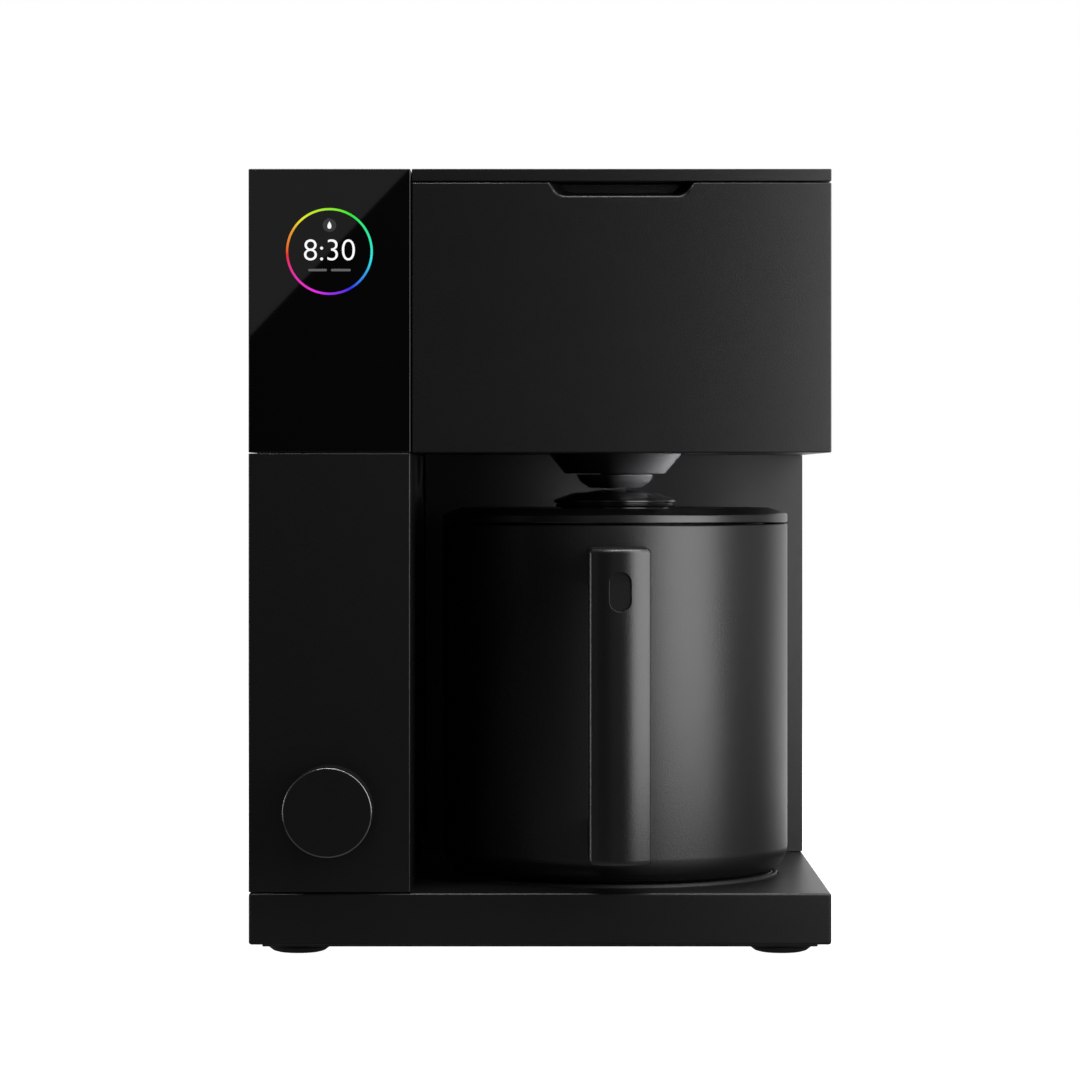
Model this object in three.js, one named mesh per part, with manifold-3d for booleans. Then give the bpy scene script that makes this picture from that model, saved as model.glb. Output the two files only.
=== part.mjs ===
// A countertop drip coffee brewer: a tower with a round display and a dial, a brew head over an
// open bay, a lift-out water tank at the rear left, and an insulated carafe with a brew-through lid.
// Millimetres, +X right, +Y towards the back, +Z up. The origin is the middle of the footprint
// (the carafe's grip included) on the counter.

import * as THREE from "three";
import { mergeVertices } from "three/addons/utils/BufferGeometryUtils.js";
import Module from "manifold-3d";

const wasm = await Module();
wasm.setup();

// ---------------------------------------------------------------- driving dimensions

const bodyWidth = 225;
const bodyDepth = 225;
const bodyHeight = 304.5; // counter to the top of the lids
const gripReach = 30; // how far the carafe's grip stands in front of the body
const gap = 0.3; // between pieces that rest on each other
const wall = 2.5; // moulded shells
const pinClearance = 0.3; // radial, round hinge pins and shafts

const baseBottom = 5;
const baseTop = 25;
const headBottom = 195; // underside of the brew head, which is the top of the bay
const lidThickness = 4.7;
const towerWidth = 62.5;
const towerDepth = 62; // the part of the tower in front of the water tank
const bayDepth = 174; // front face to the bay's back wall

const carafeRadius = 70;
const brewOffsetX = 30.5; // axis of carafe, basket and shower
const brewInset = 85; // the same axis, behind the front face

// ---------------------------------------------------------------- derived places

const left = -bodyWidth / 2;
const right = bodyWidth / 2;
const back = (bodyDepth + gripReach) / 2;
const front = back - bodyDepth;
const brewY = front + brewInset;
const towerRight = left + towerWidth;
const towerBack = front + towerDepth;
const innerBack = back - wall - gap; // where shells stop in front of the rear cover
const bayBack = front + bayDepth;
const headLeft = towerRight + 0.5;
const lidBottom = bodyHeight - lidThickness;
const headTop = lidBottom - 2 * gap;
const floorZ = baseTop + gap; // where everything on the base starts

// ---------------------------------------------------------------- shape helpers

function solidOf(geometry) {
  const bare = geometry.clone();
  bare.deleteAttribute("normal");
  bare.deleteAttribute("uv");
  const merged = mergeVertices(bare, 1e-4);
  const index = merged.index.array;
  const triangles = [];
  for (let i = 0; i < index.length; i += 3) {
    const [a, b, c] = [index[i], index[i + 1], index[i + 2]];
    if (a !== b && b !== c && c !== a) triangles.push(a, b, c);
  }
  return new wasm.Manifold(
    new wasm.Mesh({
      numProp: 3,
      vertProperties: merged.attributes.position.array,
      triVerts: new Uint32Array(triangles),
    }),
  );
}

function geometryOf(solid) {
  const mesh = solid.getMesh();
  const geometry = new THREE.BufferGeometry();
  geometry.setAttribute("position", new THREE.BufferAttribute(mesh.vertProperties, mesh.numProp));
  geometry.setIndex(new THREE.BufferAttribute(mesh.triVerts, 1));
  geometry.computeVertexNormals();
  return geometry;
}

const join = (...parts) => geometryOf(parts.map(solidOf).reduce((a, b) => a.add(b)));
const cut = (body, ...tools) =>
  geometryOf(tools.map(solidOf).reduce((a, b) => a.subtract(b), solidOf(body)));
const common = (a, b) => geometryOf(solidOf(a).intersect(solidOf(b)));

// A box from its limits along X, Y and Z.
function slab([x0, x1], [y0, y1], [z0, z1]) {
  const box = new THREE.BoxGeometry(x1 - x0, y1 - y0, z1 - z0);
  return box.translate((x0 + x1) / 2, (y0 + y1) / 2, (z0 + z1) / 2);
}

// Twice the signed area of a closed outline.
function signedArea(points) {
  return points.reduce((sum, [x, y], i) => {
    const [nextX, nextY] = points[(i + 1) % points.length];
    return sum + x * nextY - nextX * y;
  }, 0);
}

// A body turned about Z from an outline of [radius, z] points. The outline either starts and ends
// on the axis or is a closed ring.
function turned(outline, sides = 32) {
  const points = signedArea(outline) > 0 ? [...outline] : [...outline].reverse();
  const onAxis = outline[0][0] === 0;
  if (onAxis) while (points[0][0] !== 0 || points.at(-1)[0] !== 0) points.push(points.shift());
  else points.push(points[0]);
  const profile = points.map(([r, z]) => new THREE.Vector2(r, z));
  return new THREE.LatheGeometry(profile, sides).rotateX(Math.PI / 2);
}

// Points of an arc in an outline, angles in degrees.
function arc(centreR, centreZ, radius, from, to, steps) {
  return Array.from({ length: steps + 1 }, (_, i) => {
    const angle = THREE.MathUtils.degToRad(from + ((to - from) * i) / steps);
    return [centreR + radius * Math.cos(angle), centreZ + radius * Math.sin(angle)];
  });
}

const rod = (radius, z0, z1, sides = 16) =>
  turned([[0, z0], [radius, z0], [radius, z1], [0, z1]], sides);

const rodAlongX = (radius, x0, x1, y, z, sides = 16) =>
  rod(radius, x0, x1, sides).rotateY(Math.PI / 2).translate(0, y, z);

const rodAlongY = (radius, y0, y1, x, z, sides = 16) =>
  rod(radius, -y1, -y0, sides).rotateX(Math.PI / 2).translate(x, 0, z);

const extrude = (shape, depth) =>
  new THREE.ExtrudeGeometry(shape, { depth, bevelEnabled: false, curveSegments: 6 });

// Shape drawn in (y, z), extruded from x0 to x1.
function extrudeAlongX(shape, x0, x1) {
  const turn = new THREE.Matrix4().makeBasis(
    new THREE.Vector3(0, 1, 0),
    new THREE.Vector3(0, 0, 1),
    new THREE.Vector3(1, 0, 0),
  );
  return extrude(shape, x1 - x0).applyMatrix4(turn).translate(x0, 0, 0);
}

// Shape drawn in (x, z), extruded from y0 to y1.
const extrudeAlongY = (shape, y0, y1) =>
  extrude(shape, y1 - y0).rotateX(Math.PI / 2).translate(0, y1, 0);

function roundedRectangle([x0, x1], [y0, y1], radius) {
  const shape = new THREE.Shape();
  shape.moveTo(x0 + radius, y0);
  shape.lineTo(x1 - radius, y0).quadraticCurveTo(x1, y0, x1, y0 + radius);
  shape.lineTo(x1, y1 - radius).quadraticCurveTo(x1, y1, x1 - radius, y1);
  shape.lineTo(x0 + radius, y1).quadraticCurveTo(x0, y1, x0, y1 - radius);
  shape.lineTo(x0, y0 + radius).quadraticCurveTo(x0, y0, x0 + radius, y0);
  return shape;
}

function circle(radius, sides, x = 0, y = 0) {
  return Array.from({ length: sides }, (_, i) => {
    const angle = (i * 2 * Math.PI) / sides;
    return new THREE.Vector2(x + radius * Math.cos(angle), y + radius * Math.sin(angle));
  });
}

// A solid hose of round section along a smooth curve through the points.
function hose(points, radius, steps) {
  const section = new THREE.Shape(circle(radius, 8));
  const path = new THREE.CatmullRomCurve3(points.map((p) => new THREE.Vector3(...p)));
  return new THREE.ExtrudeGeometry(section, { steps, extrudePath: path, bevelEnabled: false });
}

class Helix extends THREE.Curve {
  constructor(radius, z0, z1, turns) {
    super();
    Object.assign(this, { radius, z0, z1, turns });
  }
  getPoint(t, target = new THREE.Vector3()) {
    const angle = 2 * Math.PI * this.turns * t;
    const z = this.z0 + (this.z1 - this.z0) * t;
    return target.set(this.radius * Math.cos(angle), this.radius * Math.sin(angle), z);
  }
}

// A compression spring whose wire fills z0 to z1.
function spring(radius, wire, z0, z1, turns) {
  const section = new THREE.Shape(circle(wire / 2, 5));
  const path = new Helix(radius, z0 + wire / 2, z1 - wire / 2, turns);
  return new THREE.ExtrudeGeometry(section, {
    steps: turns * 10,
    extrudePath: path,
    bevelEnabled: false,
  });
}

// ---------------------------------------------------------------- materials

const finish = (color, roughness, metalness = 0, more = {}) =>
  new THREE.MeshStandardMaterial({ color, roughness, metalness, ...more });

const matteBlack = finish(0x17181a, 0.45);
const softBlack = finish(0x1d1e20, 0.6);
const blackGlass = finish(0x050506, 0.04);
const blackSteel = finish(0x1a1b1c, 0.38, 0.3);
const stainless = finish(0xb9bbbd, 0.25, 1);
const springSteel = finish(0x9a9c9e, 0.3, 1);
const rubber = finish(0x101010, 0.9);
const silicone = finish(0x2a2b2d, 0.75);
const hoseSilicone = finish(0xd8dadb, 0.5, 0, { transparent: true, opacity: 0.8 });
const smokedPlastic = finish(0x24282b, 0.08, 0, { transparent: true, opacity: 0.35 });
const circuitBoard = finish(0x0c3b24, 0.55);
const aluminium = finish(0xa8abae, 0.4, 1);
const galvanised = finish(0x8d9194, 0.5, 0.9);
const innerPlastic = finish(0x2b2c2e, 0.55);

function part(name, geometry, material) {
  const mesh = new THREE.Mesh(geometry, material);
  mesh.name = name;
  return mesh;
}

const object = new THREE.Group();

// ---------------------------------------------------------------- base, cover and feet

const padRadius = 66;
const padTop = baseTop + 1;
const padRecess = 1;
const coverInset = 5;
const coverZ = [3.8, baseBottom - gap];
const footRadius = 12;
const footX = 94;
const footInset = 20;
const baseRim = 8; // width of the rim that the bottom cover closes

function baseTray() {
  const top = baseTop - wall;
  const block = slab([left, right], [front, back], [baseBottom, baseTop]);
  const hollow = slab(
    [left + baseRim, right - baseRim],
    [front + baseRim, back - baseRim],
    [0, top],
  );
  const recess = rod(padRadius + gap, baseTop - padRecess, baseTop + 1, 40);
  return cut(block, hollow, recess.translate(brewOffsetX, brewY, 0));
}

// A low dome: a small flat underneath that curves up to the full radius.
function foot() {
  const top = coverZ[0] - gap;
  const flat = 7;
  const profile = [
    [0, 0],
    [flat, 0],
    [footRadius - 1.8, 1],
    [footRadius, 2.4],
    [footRadius, top],
    [0, top],
  ];
  return turned(profile, 24);
}

object.add(part("base_tray", baseTray(), matteBlack));
object.add(
  part(
    "bottom_cover",
    slab(
      [left + coverInset, right - coverInset],
      [front + coverInset, back - coverInset],
      coverZ,
    ),
    softBlack,
  ),
);
for (const [row, y] of [["front", front + footInset], ["rear", back - footInset]]) {
  for (const [side, x] of [["left", -footX], ["right", footX]]) {
    const rubberFoot = part(`foot_${row}_${side}`, foot(), rubber);
    rubberFoot.position.set(x, y, 0);
    object.add(rubberFoot);
  }
}
const carafePad = part(
  "carafe_pad",
  rod(padRadius, baseTop - padRecess + gap, padTop, 40),
  silicone,
);
carafePad.position.set(brewOffsetX, brewY, 0);
object.add(carafePad);

// ---------------------------------------------------------------- dial

const knobRadius = 17.2;
const knobLength = 17.5;
const knobTravel = 0.6;
const knobX = (left + towerRight) / 2;
const knobZ = 57.4;
const shaftRadius = 3;
const shaftHole = shaftRadius + 1;

// Everything on the dial's axis is drawn with +Z pointing out of the front face.
function dial() {
  const group = new THREE.Group();
  group.position.set(knobX, front, knobZ);
  group.rotation.x = Math.PI / 2;
  const back0 = knobTravel + 0.4;
  const face = back0 + knobLength;
  const bore = shaftRadius + pinClearance;
  const hub = 6;
  const skin = 2.2;
  const web = face - 3.2;
  group.add(
    part(
      "knob_cap",
      turned(
        [
          [0, face],
          [knobRadius - 0.7, face],
          [knobRadius, face - 0.7],
          [knobRadius, back0],
          [knobRadius - skin, back0],
          [knobRadius - skin, web],
          [hub, web],
          [hub, back0 + 1.5],
          [bore, back0 + 1.5],
          [bore, web - 2.5],
          [0, web - 2.5],
        ],
        36,
      ),
      matteBlack,
    ),
  );
  const shaftEnd = -14;
  group.add(part("knob_shaft", rod(shaftRadius, shaftEnd, web - 2.5 - gap, 16), aluminium));
  const housing = slab([-7, 7], [-7, 7], [-11, -wall - gap]);
  group.add(part("encoder", cut(housing, rod(shaftRadius + 0.4, -12, 0, 16)), innerPlastic));
  const plunger = join(
    rod(3.2, shaftEnd - gap - 2, shaftEnd - gap, 16),
    rod(1.2, shaftEnd - gap - 3.6, shaftEnd - gap - 1, 12),
  );
  group.add(part("encoder_plunger", plunger, innerPlastic));
  return group;
}
object.add(dial());

// ---------------------------------------------------------------- tower

const glassThickness = 3;
const displayZ = 272.6;
const displayWindow = 19;
const towerSeam = headBottom - gap; // top of the lower shell

// A channel with a front wall and two legs. The right leg runs back beside the tank.
function towerChannel(faceY, z0, z1) {
  return join(
    slab([left, towerRight], [faceY, faceY + wall], [z0, z1]),
    slab([left, left + wall], [faceY, towerBack], [z0, z1]),
    slab([towerRight - wall, towerRight], [faceY, innerBack], [z0, z1]),
  );
}

const hosePort = { y: 95, z: 38, radius: 4.8 }; // where the pump's hose passes the tower's leg

const lowerShell = cut(
  towerChannel(front, floorZ, towerSeam),
  rodAlongY(shaftHole, front - 1, front + wall + 1, knobX, knobZ),
  rodAlongX(hosePort.radius, towerRight - wall - 1, towerRight + 1, hosePort.y, hosePort.z),
);
object.add(part("tower_lower_shell", lowerShell, matteBlack));

const shellFace = front + glassThickness + gap;
const upperShell = cut(
  join(
    towerChannel(shellFace, headBottom, bodyHeight),
    slab([left, towerRight], [shellFace, towerBack], [bodyHeight - wall, bodyHeight]),
  ),
  rodAlongY(displayWindow, shellFace - 1, shellFace + wall + 1, knobX, displayZ, 32),
);
object.add(part("tower_upper_shell", upperShell, matteBlack));
object.add(
  part(
    "display_glass",
    slab([left, towerRight], [front, front + glassThickness], [headBottom, bodyHeight]),
    blackGlass,
  ),
);

const displayModule = join(
  rodAlongY(displayWindow - 0.5, shellFace, shellFace + 3, knobX, displayZ, 32),
  slab(
    [knobX - 22, knobX + 22],
    [shellFace + wall + gap, shellFace + wall + 2],
    [displayZ - 22, displayZ + 22],
  ),
);
object.add(part("display_module", displayModule, innerPlastic));

const boardY = front + 19.5;
const controlBoard = join(
  slab([left + 4, towerRight - 4], [boardY, boardY + 1.6], [35, 185]),
  slab([knobX - 8, knobX + 8], [boardY + 1, boardY + 4.2], [120, 136]),
  slab([knobX - 18, knobX + 14], [boardY + 1, boardY + 9], [158, 168]),
  slab([knobX - 20, knobX - 8], [boardY + 1, boardY + 7], [90, 104]),
);
object.add(part("control_board", controlBoard, circuitBoard));

object.add(
  part(
    "partition_wall",
    slab(
      [left + wall + gap, towerRight - wall - gap],
      [towerBack - wall - gap, towerBack - gap],
      [floorZ, bodyHeight - wall - gap],
    ),
    innerPlastic,
  ),
);

// ---------------------------------------------------------------- brew head

const scoopTopWidth = 57.5;
const scoopBottomWidth = 48.5;
const scoopDrop = 5.3;
const scoopDepth = 11;
const deckZ = [284, 286.5];
const basketHole = 62;
const coneHole = 29.6;

// The finger notch under the lid's front edge, seen from the front: a trapezium with soft corners.
function scoopOutline() {
  const x = (headLeft + right) / 2;
  const low = headTop - scoopDrop;
  const corner = 3;
  const halfTop = scoopTopWidth / 2;
  const halfLow = scoopBottomWidth / 2;
  const shape = new THREE.Shape();
  shape.moveTo(x - halfTop, headTop + 1);
  shape.lineTo(x - halfTop, headTop);
  shape.quadraticCurveTo(x - halfLow - 1, low, x - halfLow + corner, low);
  shape.lineTo(x + halfLow - corner, low);
  shape.quadraticCurveTo(x + halfLow + 1, low, x + halfTop, headTop);
  shape.lineTo(x + halfTop, headTop + 1);
  return shape;
}

function headShell() {
  const z = [headBottom, headTop];
  const scoopX = (headLeft + right) / 2;
  const walls = join(
    slab([headLeft, right], [front, front + wall], z),
    slab([headLeft, headLeft + wall], [front, innerBack], z),
    slab([right - wall, right], [front, innerBack], z),
    slab([headLeft, right], [front, bayBack + wall + gap], [headBottom, headBottom + wall]),
    slab(
      [scoopX - scoopTopWidth / 2 - 3, scoopX + scoopTopWidth / 2 + 3],
      [front, front + scoopDepth + wall],
      [headTop - scoopDrop - wall, headTop],
    ),
  );
  return cut(
    walls,
    extrudeAlongY(scoopOutline(), front - 1, front + scoopDepth),
    rod(coneHole, headBottom - 1, headBottom + wall + 1, 36).translate(brewOffsetX, brewY, 0),
  );
}
object.add(part("head_shell", headShell(), matteBlack));

const portY = 80; // where the water leaves the body for the lid
const portRadius = 5;
const deck = cut(
  slab(
    [headLeft + wall + gap, right - wall - gap],
    [front + wall + gap, innerBack - gap],
    deckZ,
  ),
  rod(basketHole, deckZ[0] - 1, deckZ[1] + 1, 40).translate(brewOffsetX, brewY, 0),
  rod(portRadius + 0.4, deckZ[0] - 1, deckZ[1] + 1).translate(brewOffsetX, portY, 0),
);
object.add(part("top_deck", deck, innerPlastic));

// ---------------------------------------------------------------- column and rear cover

const column = join(
  slab([headLeft, right], [bayBack, bayBack + wall], [floorZ, towerSeam]),
  slab([right - wall, right], [bayBack, innerBack], [floorZ, towerSeam]),
);
object.add(part("back_column", column, matteBlack));

const inlet = { x: 80, z: 50, halfWidth: 13.8, halfHeight: 10.3 };
const inletRoom = 0.4; // cut-out clearance round the inlet
const screwX = [headLeft + 9, right - 9];
const screwZ = [36, 276];
const screwHead = 2.8;
const screwShank = 1.4;
const counterbore = 1.7;
const ventCount = 7;
const ventPitch = 9;
const ventX = [-20, 52];
const frameY = [112, 113.5];

const inletWindow = (y0, y1) =>
  slab(
    [inlet.x - inlet.halfWidth - inletRoom, inlet.x + inlet.halfWidth + inletRoom],
    [y0, y1],
    [inlet.z - inlet.halfHeight - inletRoom, inlet.z + inlet.halfHeight + inletRoom],
  );

function rearCover() {
  const panel = slab([towerRight - wall, right], [back - wall, back], [floorZ, headTop]);
  const tools = [inletWindow(back - wall - 1, back + 1)];
  for (let i = 0; i < ventCount; i += 1) {
    const z = 108 + i * ventPitch;
    tools.push(slab(ventX, [back - wall - 1, back + 1], [z, z + 3]));
  }
  for (const x of screwX) {
    for (const z of screwZ) {
      tools.push(rodAlongY(screwShank + gap, back - wall - 1, back + 1, x, z, 12));
      tools.push(rodAlongY(screwHead + gap, back - counterbore, back + 1, x, z, 16));
    }
  }
  return cut(panel, ...tools);
}
object.add(part("rear_cover", rearCover(), matteBlack));

const frameTools = [inletWindow(frameY[0] - 1, frameY[1] + 1)];
for (const x of screwX) {
  for (const z of screwZ) {
    frameTools.push(rodAlongY(screwShank + gap, frameY[0] - 1, frameY[1] + 1, x, z, 12));
  }
}
const framePlate = cut(
  slab([headLeft + wall + 1, right - wall - 1], frameY, [floorZ + 2, deckZ[0] - 1]),
  ...frameTools,
);
object.add(part("column_frame", framePlate, galvanised));

for (const [row, z] of [["lower", screwZ[0]], ["upper", screwZ[1]]]) {
  for (const [side, x] of [["left", screwX[0]], ["right", screwX[1]]]) {
    const screw = join(
      rodAlongY(screwHead, back - 1.5, back - 0.2, x, z, 12),
      rodAlongY(screwShank, frameY[0] - 2, back - 1, x, z, 8),
    );
    object.add(part(`rear_screw_${row}_${side}`, screw, galvanised));
  }
}

function powerInlet() {
  const { x, z, halfWidth, halfHeight } = inlet;
  const face = back - 0.2;
  const body = slab([x - halfWidth, x + halfWidth], [104, face], [z - halfHeight, z + halfHeight]);
  const socket = slab([x - 11.8, x + 11.8], [face - 16, face + 1], [z - 8, z + 8]);
  const blade = (dx, dz) =>
    slab([x + dx - 1, x + dx + 1], [face - 17, face - 5], [z + dz - 2, z + dz + 2]);
  return join(cut(body, socket), blade(-7, -2), blade(7, -2), blade(0, 2.5));
}
object.add(part("power_inlet", powerInlet(), innerPlastic));

const powerBoard = join(
  slab([38, 102], [106, 107.6], [92, 172]),
  slab([44, 68], [86, 106.5], [98, 122]),
  slab([76, 94], [92, 106.5], [100, 116]),
  rodAlongY(7, 88, 106.5, 56, 142),
  slab([72, 96], [96, 106.5], [134, 160]),
);
object.add(part("power_board", powerBoard, circuitBoard));

// ---------------------------------------------------------------- water path

const tankX = [left, towerRight - wall - 0.8];
const seatX = (tankX[0] + tankX[1]) / 2;
const seatY = 60;
const dockTop = 72;
const dockFront = towerBack + gap;

const dock = cut(
  join(
    slab([left, left + wall], [dockFront, back], [floorZ, dockTop]),
    slab([left, tankX[1]], [back - wall, back], [floorZ, dockTop]),
    slab([left, tankX[1]], [dockFront, back], [dockTop - wall, dockTop]),
  ),
  rod(12.8, dockTop - wall - 1, dockTop + 1, 24).translate(seatX, seatY, 0),
);
object.add(part("tank_dock", dock, matteBlack));

const seatFloor = 58;
const seatPinTop = 64.4;
const tankSeat = part(
  "tank_seat",
  turned(
    [
      [0, seatFloor],
      [12.5, seatFloor],
      [12.5, dockTop - gap],
      [10.2, dockTop - gap],
      [10.2, seatFloor + 2.5],
      [1.5, seatFloor + 2.5],
      [1.5, seatPinTop],
      [0, seatPinTop],
    ],
    24,
  ),
  innerPlastic,
);
tankSeat.position.set(seatX, seatY, 0);
object.add(tankSeat);

const flowMeter = join(
  slab([seatX - 13, seatX + 13], [seatY - 13, seatY + 13], [33, 49]),
  rod(4, 48, seatFloor - gap).translate(seatX, seatY, 0),
);
object.add(part("flow_meter", flowMeter, innerPlastic));

const pumpZ = 41.5;
const pump = join(
  rodAlongY(15, -16, 36, seatX, pumpZ, 24),
  rodAlongY(6, 35, seatY - 13 - gap, seatX, pumpZ, 12),
  rodAlongY(9, -26, -15, seatX, pumpZ, 16),
  rod(3.2, pumpZ + 10, 60, 12).translate(seatX, 0, 0),
);
object.add(part("pump", pump, aluminium));

const heaterX = 5;
const heaterY = 97;
const heaterZ = [48, 170];
const heater = part(
  "heater",
  turned(
    [
      [0, heaterZ[0] - 8],
      [3.4, heaterZ[0] - 8],
      [3.4, heaterZ[0]],
      [13, heaterZ[0]],
      [13, heaterZ[0] + 4],
      [11, heaterZ[0] + 4],
      [11, heaterZ[1] - 4],
      [13, heaterZ[1] - 4],
      [13, heaterZ[1]],
      [3.4, heaterZ[1]],
      [3.4, heaterZ[1] + 8],
      [0, heaterZ[1] + 8],
    ],
    20,
  ),
  aluminium,
);
heater.position.set(heaterX, heaterY, 0);
object.add(heater);

const hoseRadius = 3;
const pumpHose = hose(
  [
    [seatX, 0, 60 + gap],
    [seatX, 0, 62.5],
    [seatX + 4, 5, 65.5],
    [seatX + 13, 16, 65],
    [towerRight - wall - 7, 42, 60],
    [towerRight - wall - 7, 72, 48],
    [towerRight - wall - 7, 90, 40],
    [towerRight - wall / 2, hosePort.y, hosePort.z],
    [towerRight + 10, hosePort.y + 1, 36],
    [heaterX - 25, heaterY, 32],
    [heaterX - 5, heaterY, 31.5],
    [heaterX, heaterY, heaterZ[0] - 8 - 3],
    [heaterX, heaterY, heaterZ[0] - 8 - gap],
  ],
  hoseRadius,
  36,
);
object.add(part("pump_hose", pumpHose, hoseSilicone));

const portZ = [280, 293];
const riserHose = hose(
  [
    [heaterX, heaterY, heaterZ[1] + 8 + gap],
    [heaterX, heaterY, heaterZ[1] + 22],
    [heaterX + 7, heaterY - 3, 222],
    [brewOffsetX - 3, portY + 3, 254],
    [brewOffsetX, portY, 272],
    [brewOffsetX, portY, portZ[0] - gap],
  ],
  hoseRadius,
  20,
);
object.add(part("riser_hose", riserHose, hoseSilicone));

const outletPort = part(
  "outlet_port",
  turned(
    [
      [2.6, portZ[0]],
      [portRadius, portZ[0]],
      [portRadius, deckZ[1] + gap],
      [8, deckZ[1] + gap],
      [8, deckZ[1] + 2],
      [portRadius, deckZ[1] + 2],
      [portRadius, portZ[1]],
      [2.6, portZ[1]],
    ],
    16,
  ),
  silicone,
);
outletPort.position.set(brewOffsetX, portY, 0);
object.add(outletPort);

// ---------------------------------------------------------------- lid hinges

const barrelRadius = 3.2;
const pinRadius = 1.3;
const hingeZ = bodyHeight - barrelRadius;
const earRoom = 0.4; // between an ear and the end of the barrel
const stripRoom = 4; // hinge axis to the fixed strip behind it

// The moving plate of a lid, with the barrel of its hinge on its rear edge.
function lidPlate(x, yFront, yAxis, earWidth) {
  const barrelX = [x[0] + earWidth + earRoom, x[1] - earWidth - earRoom];
  const z = [lidBottom, bodyHeight];
  return cut(
    join(
      slab(x, [yFront, yAxis - stripRoom - 0.2], z),
      slab(barrelX, [yAxis - stripRoom - 1, yAxis], z),
      rodAlongX(barrelRadius, ...barrelX, yAxis, hingeZ, 20),
    ),
    rodAlongX(pinRadius + pinClearance, barrelX[0] - 1, barrelX[1] + 1, yAxis, hingeZ, 12),
  );
}

// The fixed strip behind a lid, with the two round ears that hold its hinge pin.
function hingeStrip(x, yAxis, earWidth) {
  const z = [lidBottom, bodyHeight];
  const endWall = 3;
  const ear = (x0, x1) =>
    join(
      rodAlongX(barrelRadius, x0, x1, yAxis, hingeZ, 20),
      slab([x0, x1], [yAxis, yAxis + stripRoom + 1], z),
    );
  return cut(
    join(
      slab(x, [yAxis + stripRoom, back], z),
      ear(x[0], x[0] + earWidth),
      ear(x[1] - earWidth, x[1]),
    ),
    rodAlongX(pinRadius + pinClearance, x[0] + endWall, x[1] - endWall, yAxis, hingeZ, 12),
    slab([x[0] - 1, x[1] + 1], [yAxis - barrelRadius - 1, yAxis + stripRoom], [0, lidBottom]),
  );
}

const hingePin = (x, yAxis) =>
  rodAlongX(pinRadius, x[0] + 3 + gap, x[1] - 3 - gap, yAxis, hingeZ, 10);

// ---------------------------------------------------------------- brew lid

const brewLidX = [headLeft, right];
const brewHingeY = 108;
const brewEar = 9;
const showerRadius = 51;
const linerZ = [lidBottom - gap - 2.2, lidBottom - gap];
const showerZ = 292;

object.add(part("lid_plate", lidPlate(brewLidX, front, brewHingeY, brewEar), matteBlack));
object.add(part("rear_top_cover", hingeStrip(brewLidX, brewHingeY, brewEar), matteBlack));
object.add(part("lid_hinge_pin", hingePin(brewLidX, brewHingeY), stainless));

const linerPanel = slab(
  [headLeft + wall + 3, right - wall - 3],
  [front + scoopDepth + wall + 4, brewHingeY - 12],
  linerZ,
);
const showerRing = turned(
  [
    [showerRadius, showerZ - 0.5],
    [showerRadius + 3, showerZ - 0.5],
    [showerRadius + 3, linerZ[0] + 0.5],
    [showerRadius, linerZ[0] + 0.5],
  ],
  40,
).translate(brewOffsetX, brewY, 0);
const inletBoss = cut(
  rod(6, portZ[1] + gap, linerZ[0] + 0.5),
  rod(2.5, portZ[1] - 1, linerZ[0] - 0.5, 12),
).translate(brewOffsetX, portY, 0);
object.add(part("lid_liner", join(linerPanel, showerRing, inletBoss), innerPlastic));

// A disc with rings of drip holes.
function showerPlate() {
  const disc = new THREE.Shape(circle(showerRadius - 0.4, 36));
  const rings = [[0, 1], [13, 6], [26, 8], [39, 10]];
  for (const [radius, count] of rings) {
    for (const { x, y } of circle(radius, count)) {
      disc.holes.push(new THREE.Path(circle(1.1, 6, x, y)));
    }
  }
  return new THREE.ExtrudeGeometry(disc, { depth: 1.2, bevelEnabled: false });
}
const shower = part("shower_plate", showerPlate(), stainless);
shower.position.set(brewOffsetX, brewY, showerZ);
object.add(shower);

const lidSeal = part(
  "lid_seal",
  turned(
    [
      [showerRadius + 4, linerZ[0] - 2.4],
      [showerRadius + 6.5, linerZ[0] - 2.4],
      [showerRadius + 6.5, linerZ[0] - gap],
      [showerRadius + 4, linerZ[0] - gap],
    ],
    36,
  ),
  silicone,
);
lidSeal.position.set(brewOffsetX, brewY, 0);
object.add(lidSeal);

// ---------------------------------------------------------------- water tank

const tankY = [towerBack + 0.6, back];
const tankBottom = dockTop + 1;
const tankTop = lidBottom - gap;
const tankWall = 2.2;
const tankHingeY = 116;
const tankEar = 8;
const spigotBottom = 63;
const spigotRadius = 9;

const tankBody = cut(
  slab(tankX, tankY, [tankBottom, tankTop]),
  slab(
    [tankX[0] + tankWall, tankX[1] - tankWall],
    [tankY[0] + tankWall, tankY[1] - tankWall],
    [tankBottom + tankWall, tankTop + 1],
  ),
  rod(spigotRadius + 0.4, tankBottom - 1, tankBottom + tankWall + 1, 20).translate(
    seatX,
    seatY,
    0,
  ),
);
object.add(part("tank_body", tankBody, smokedPlastic));

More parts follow.
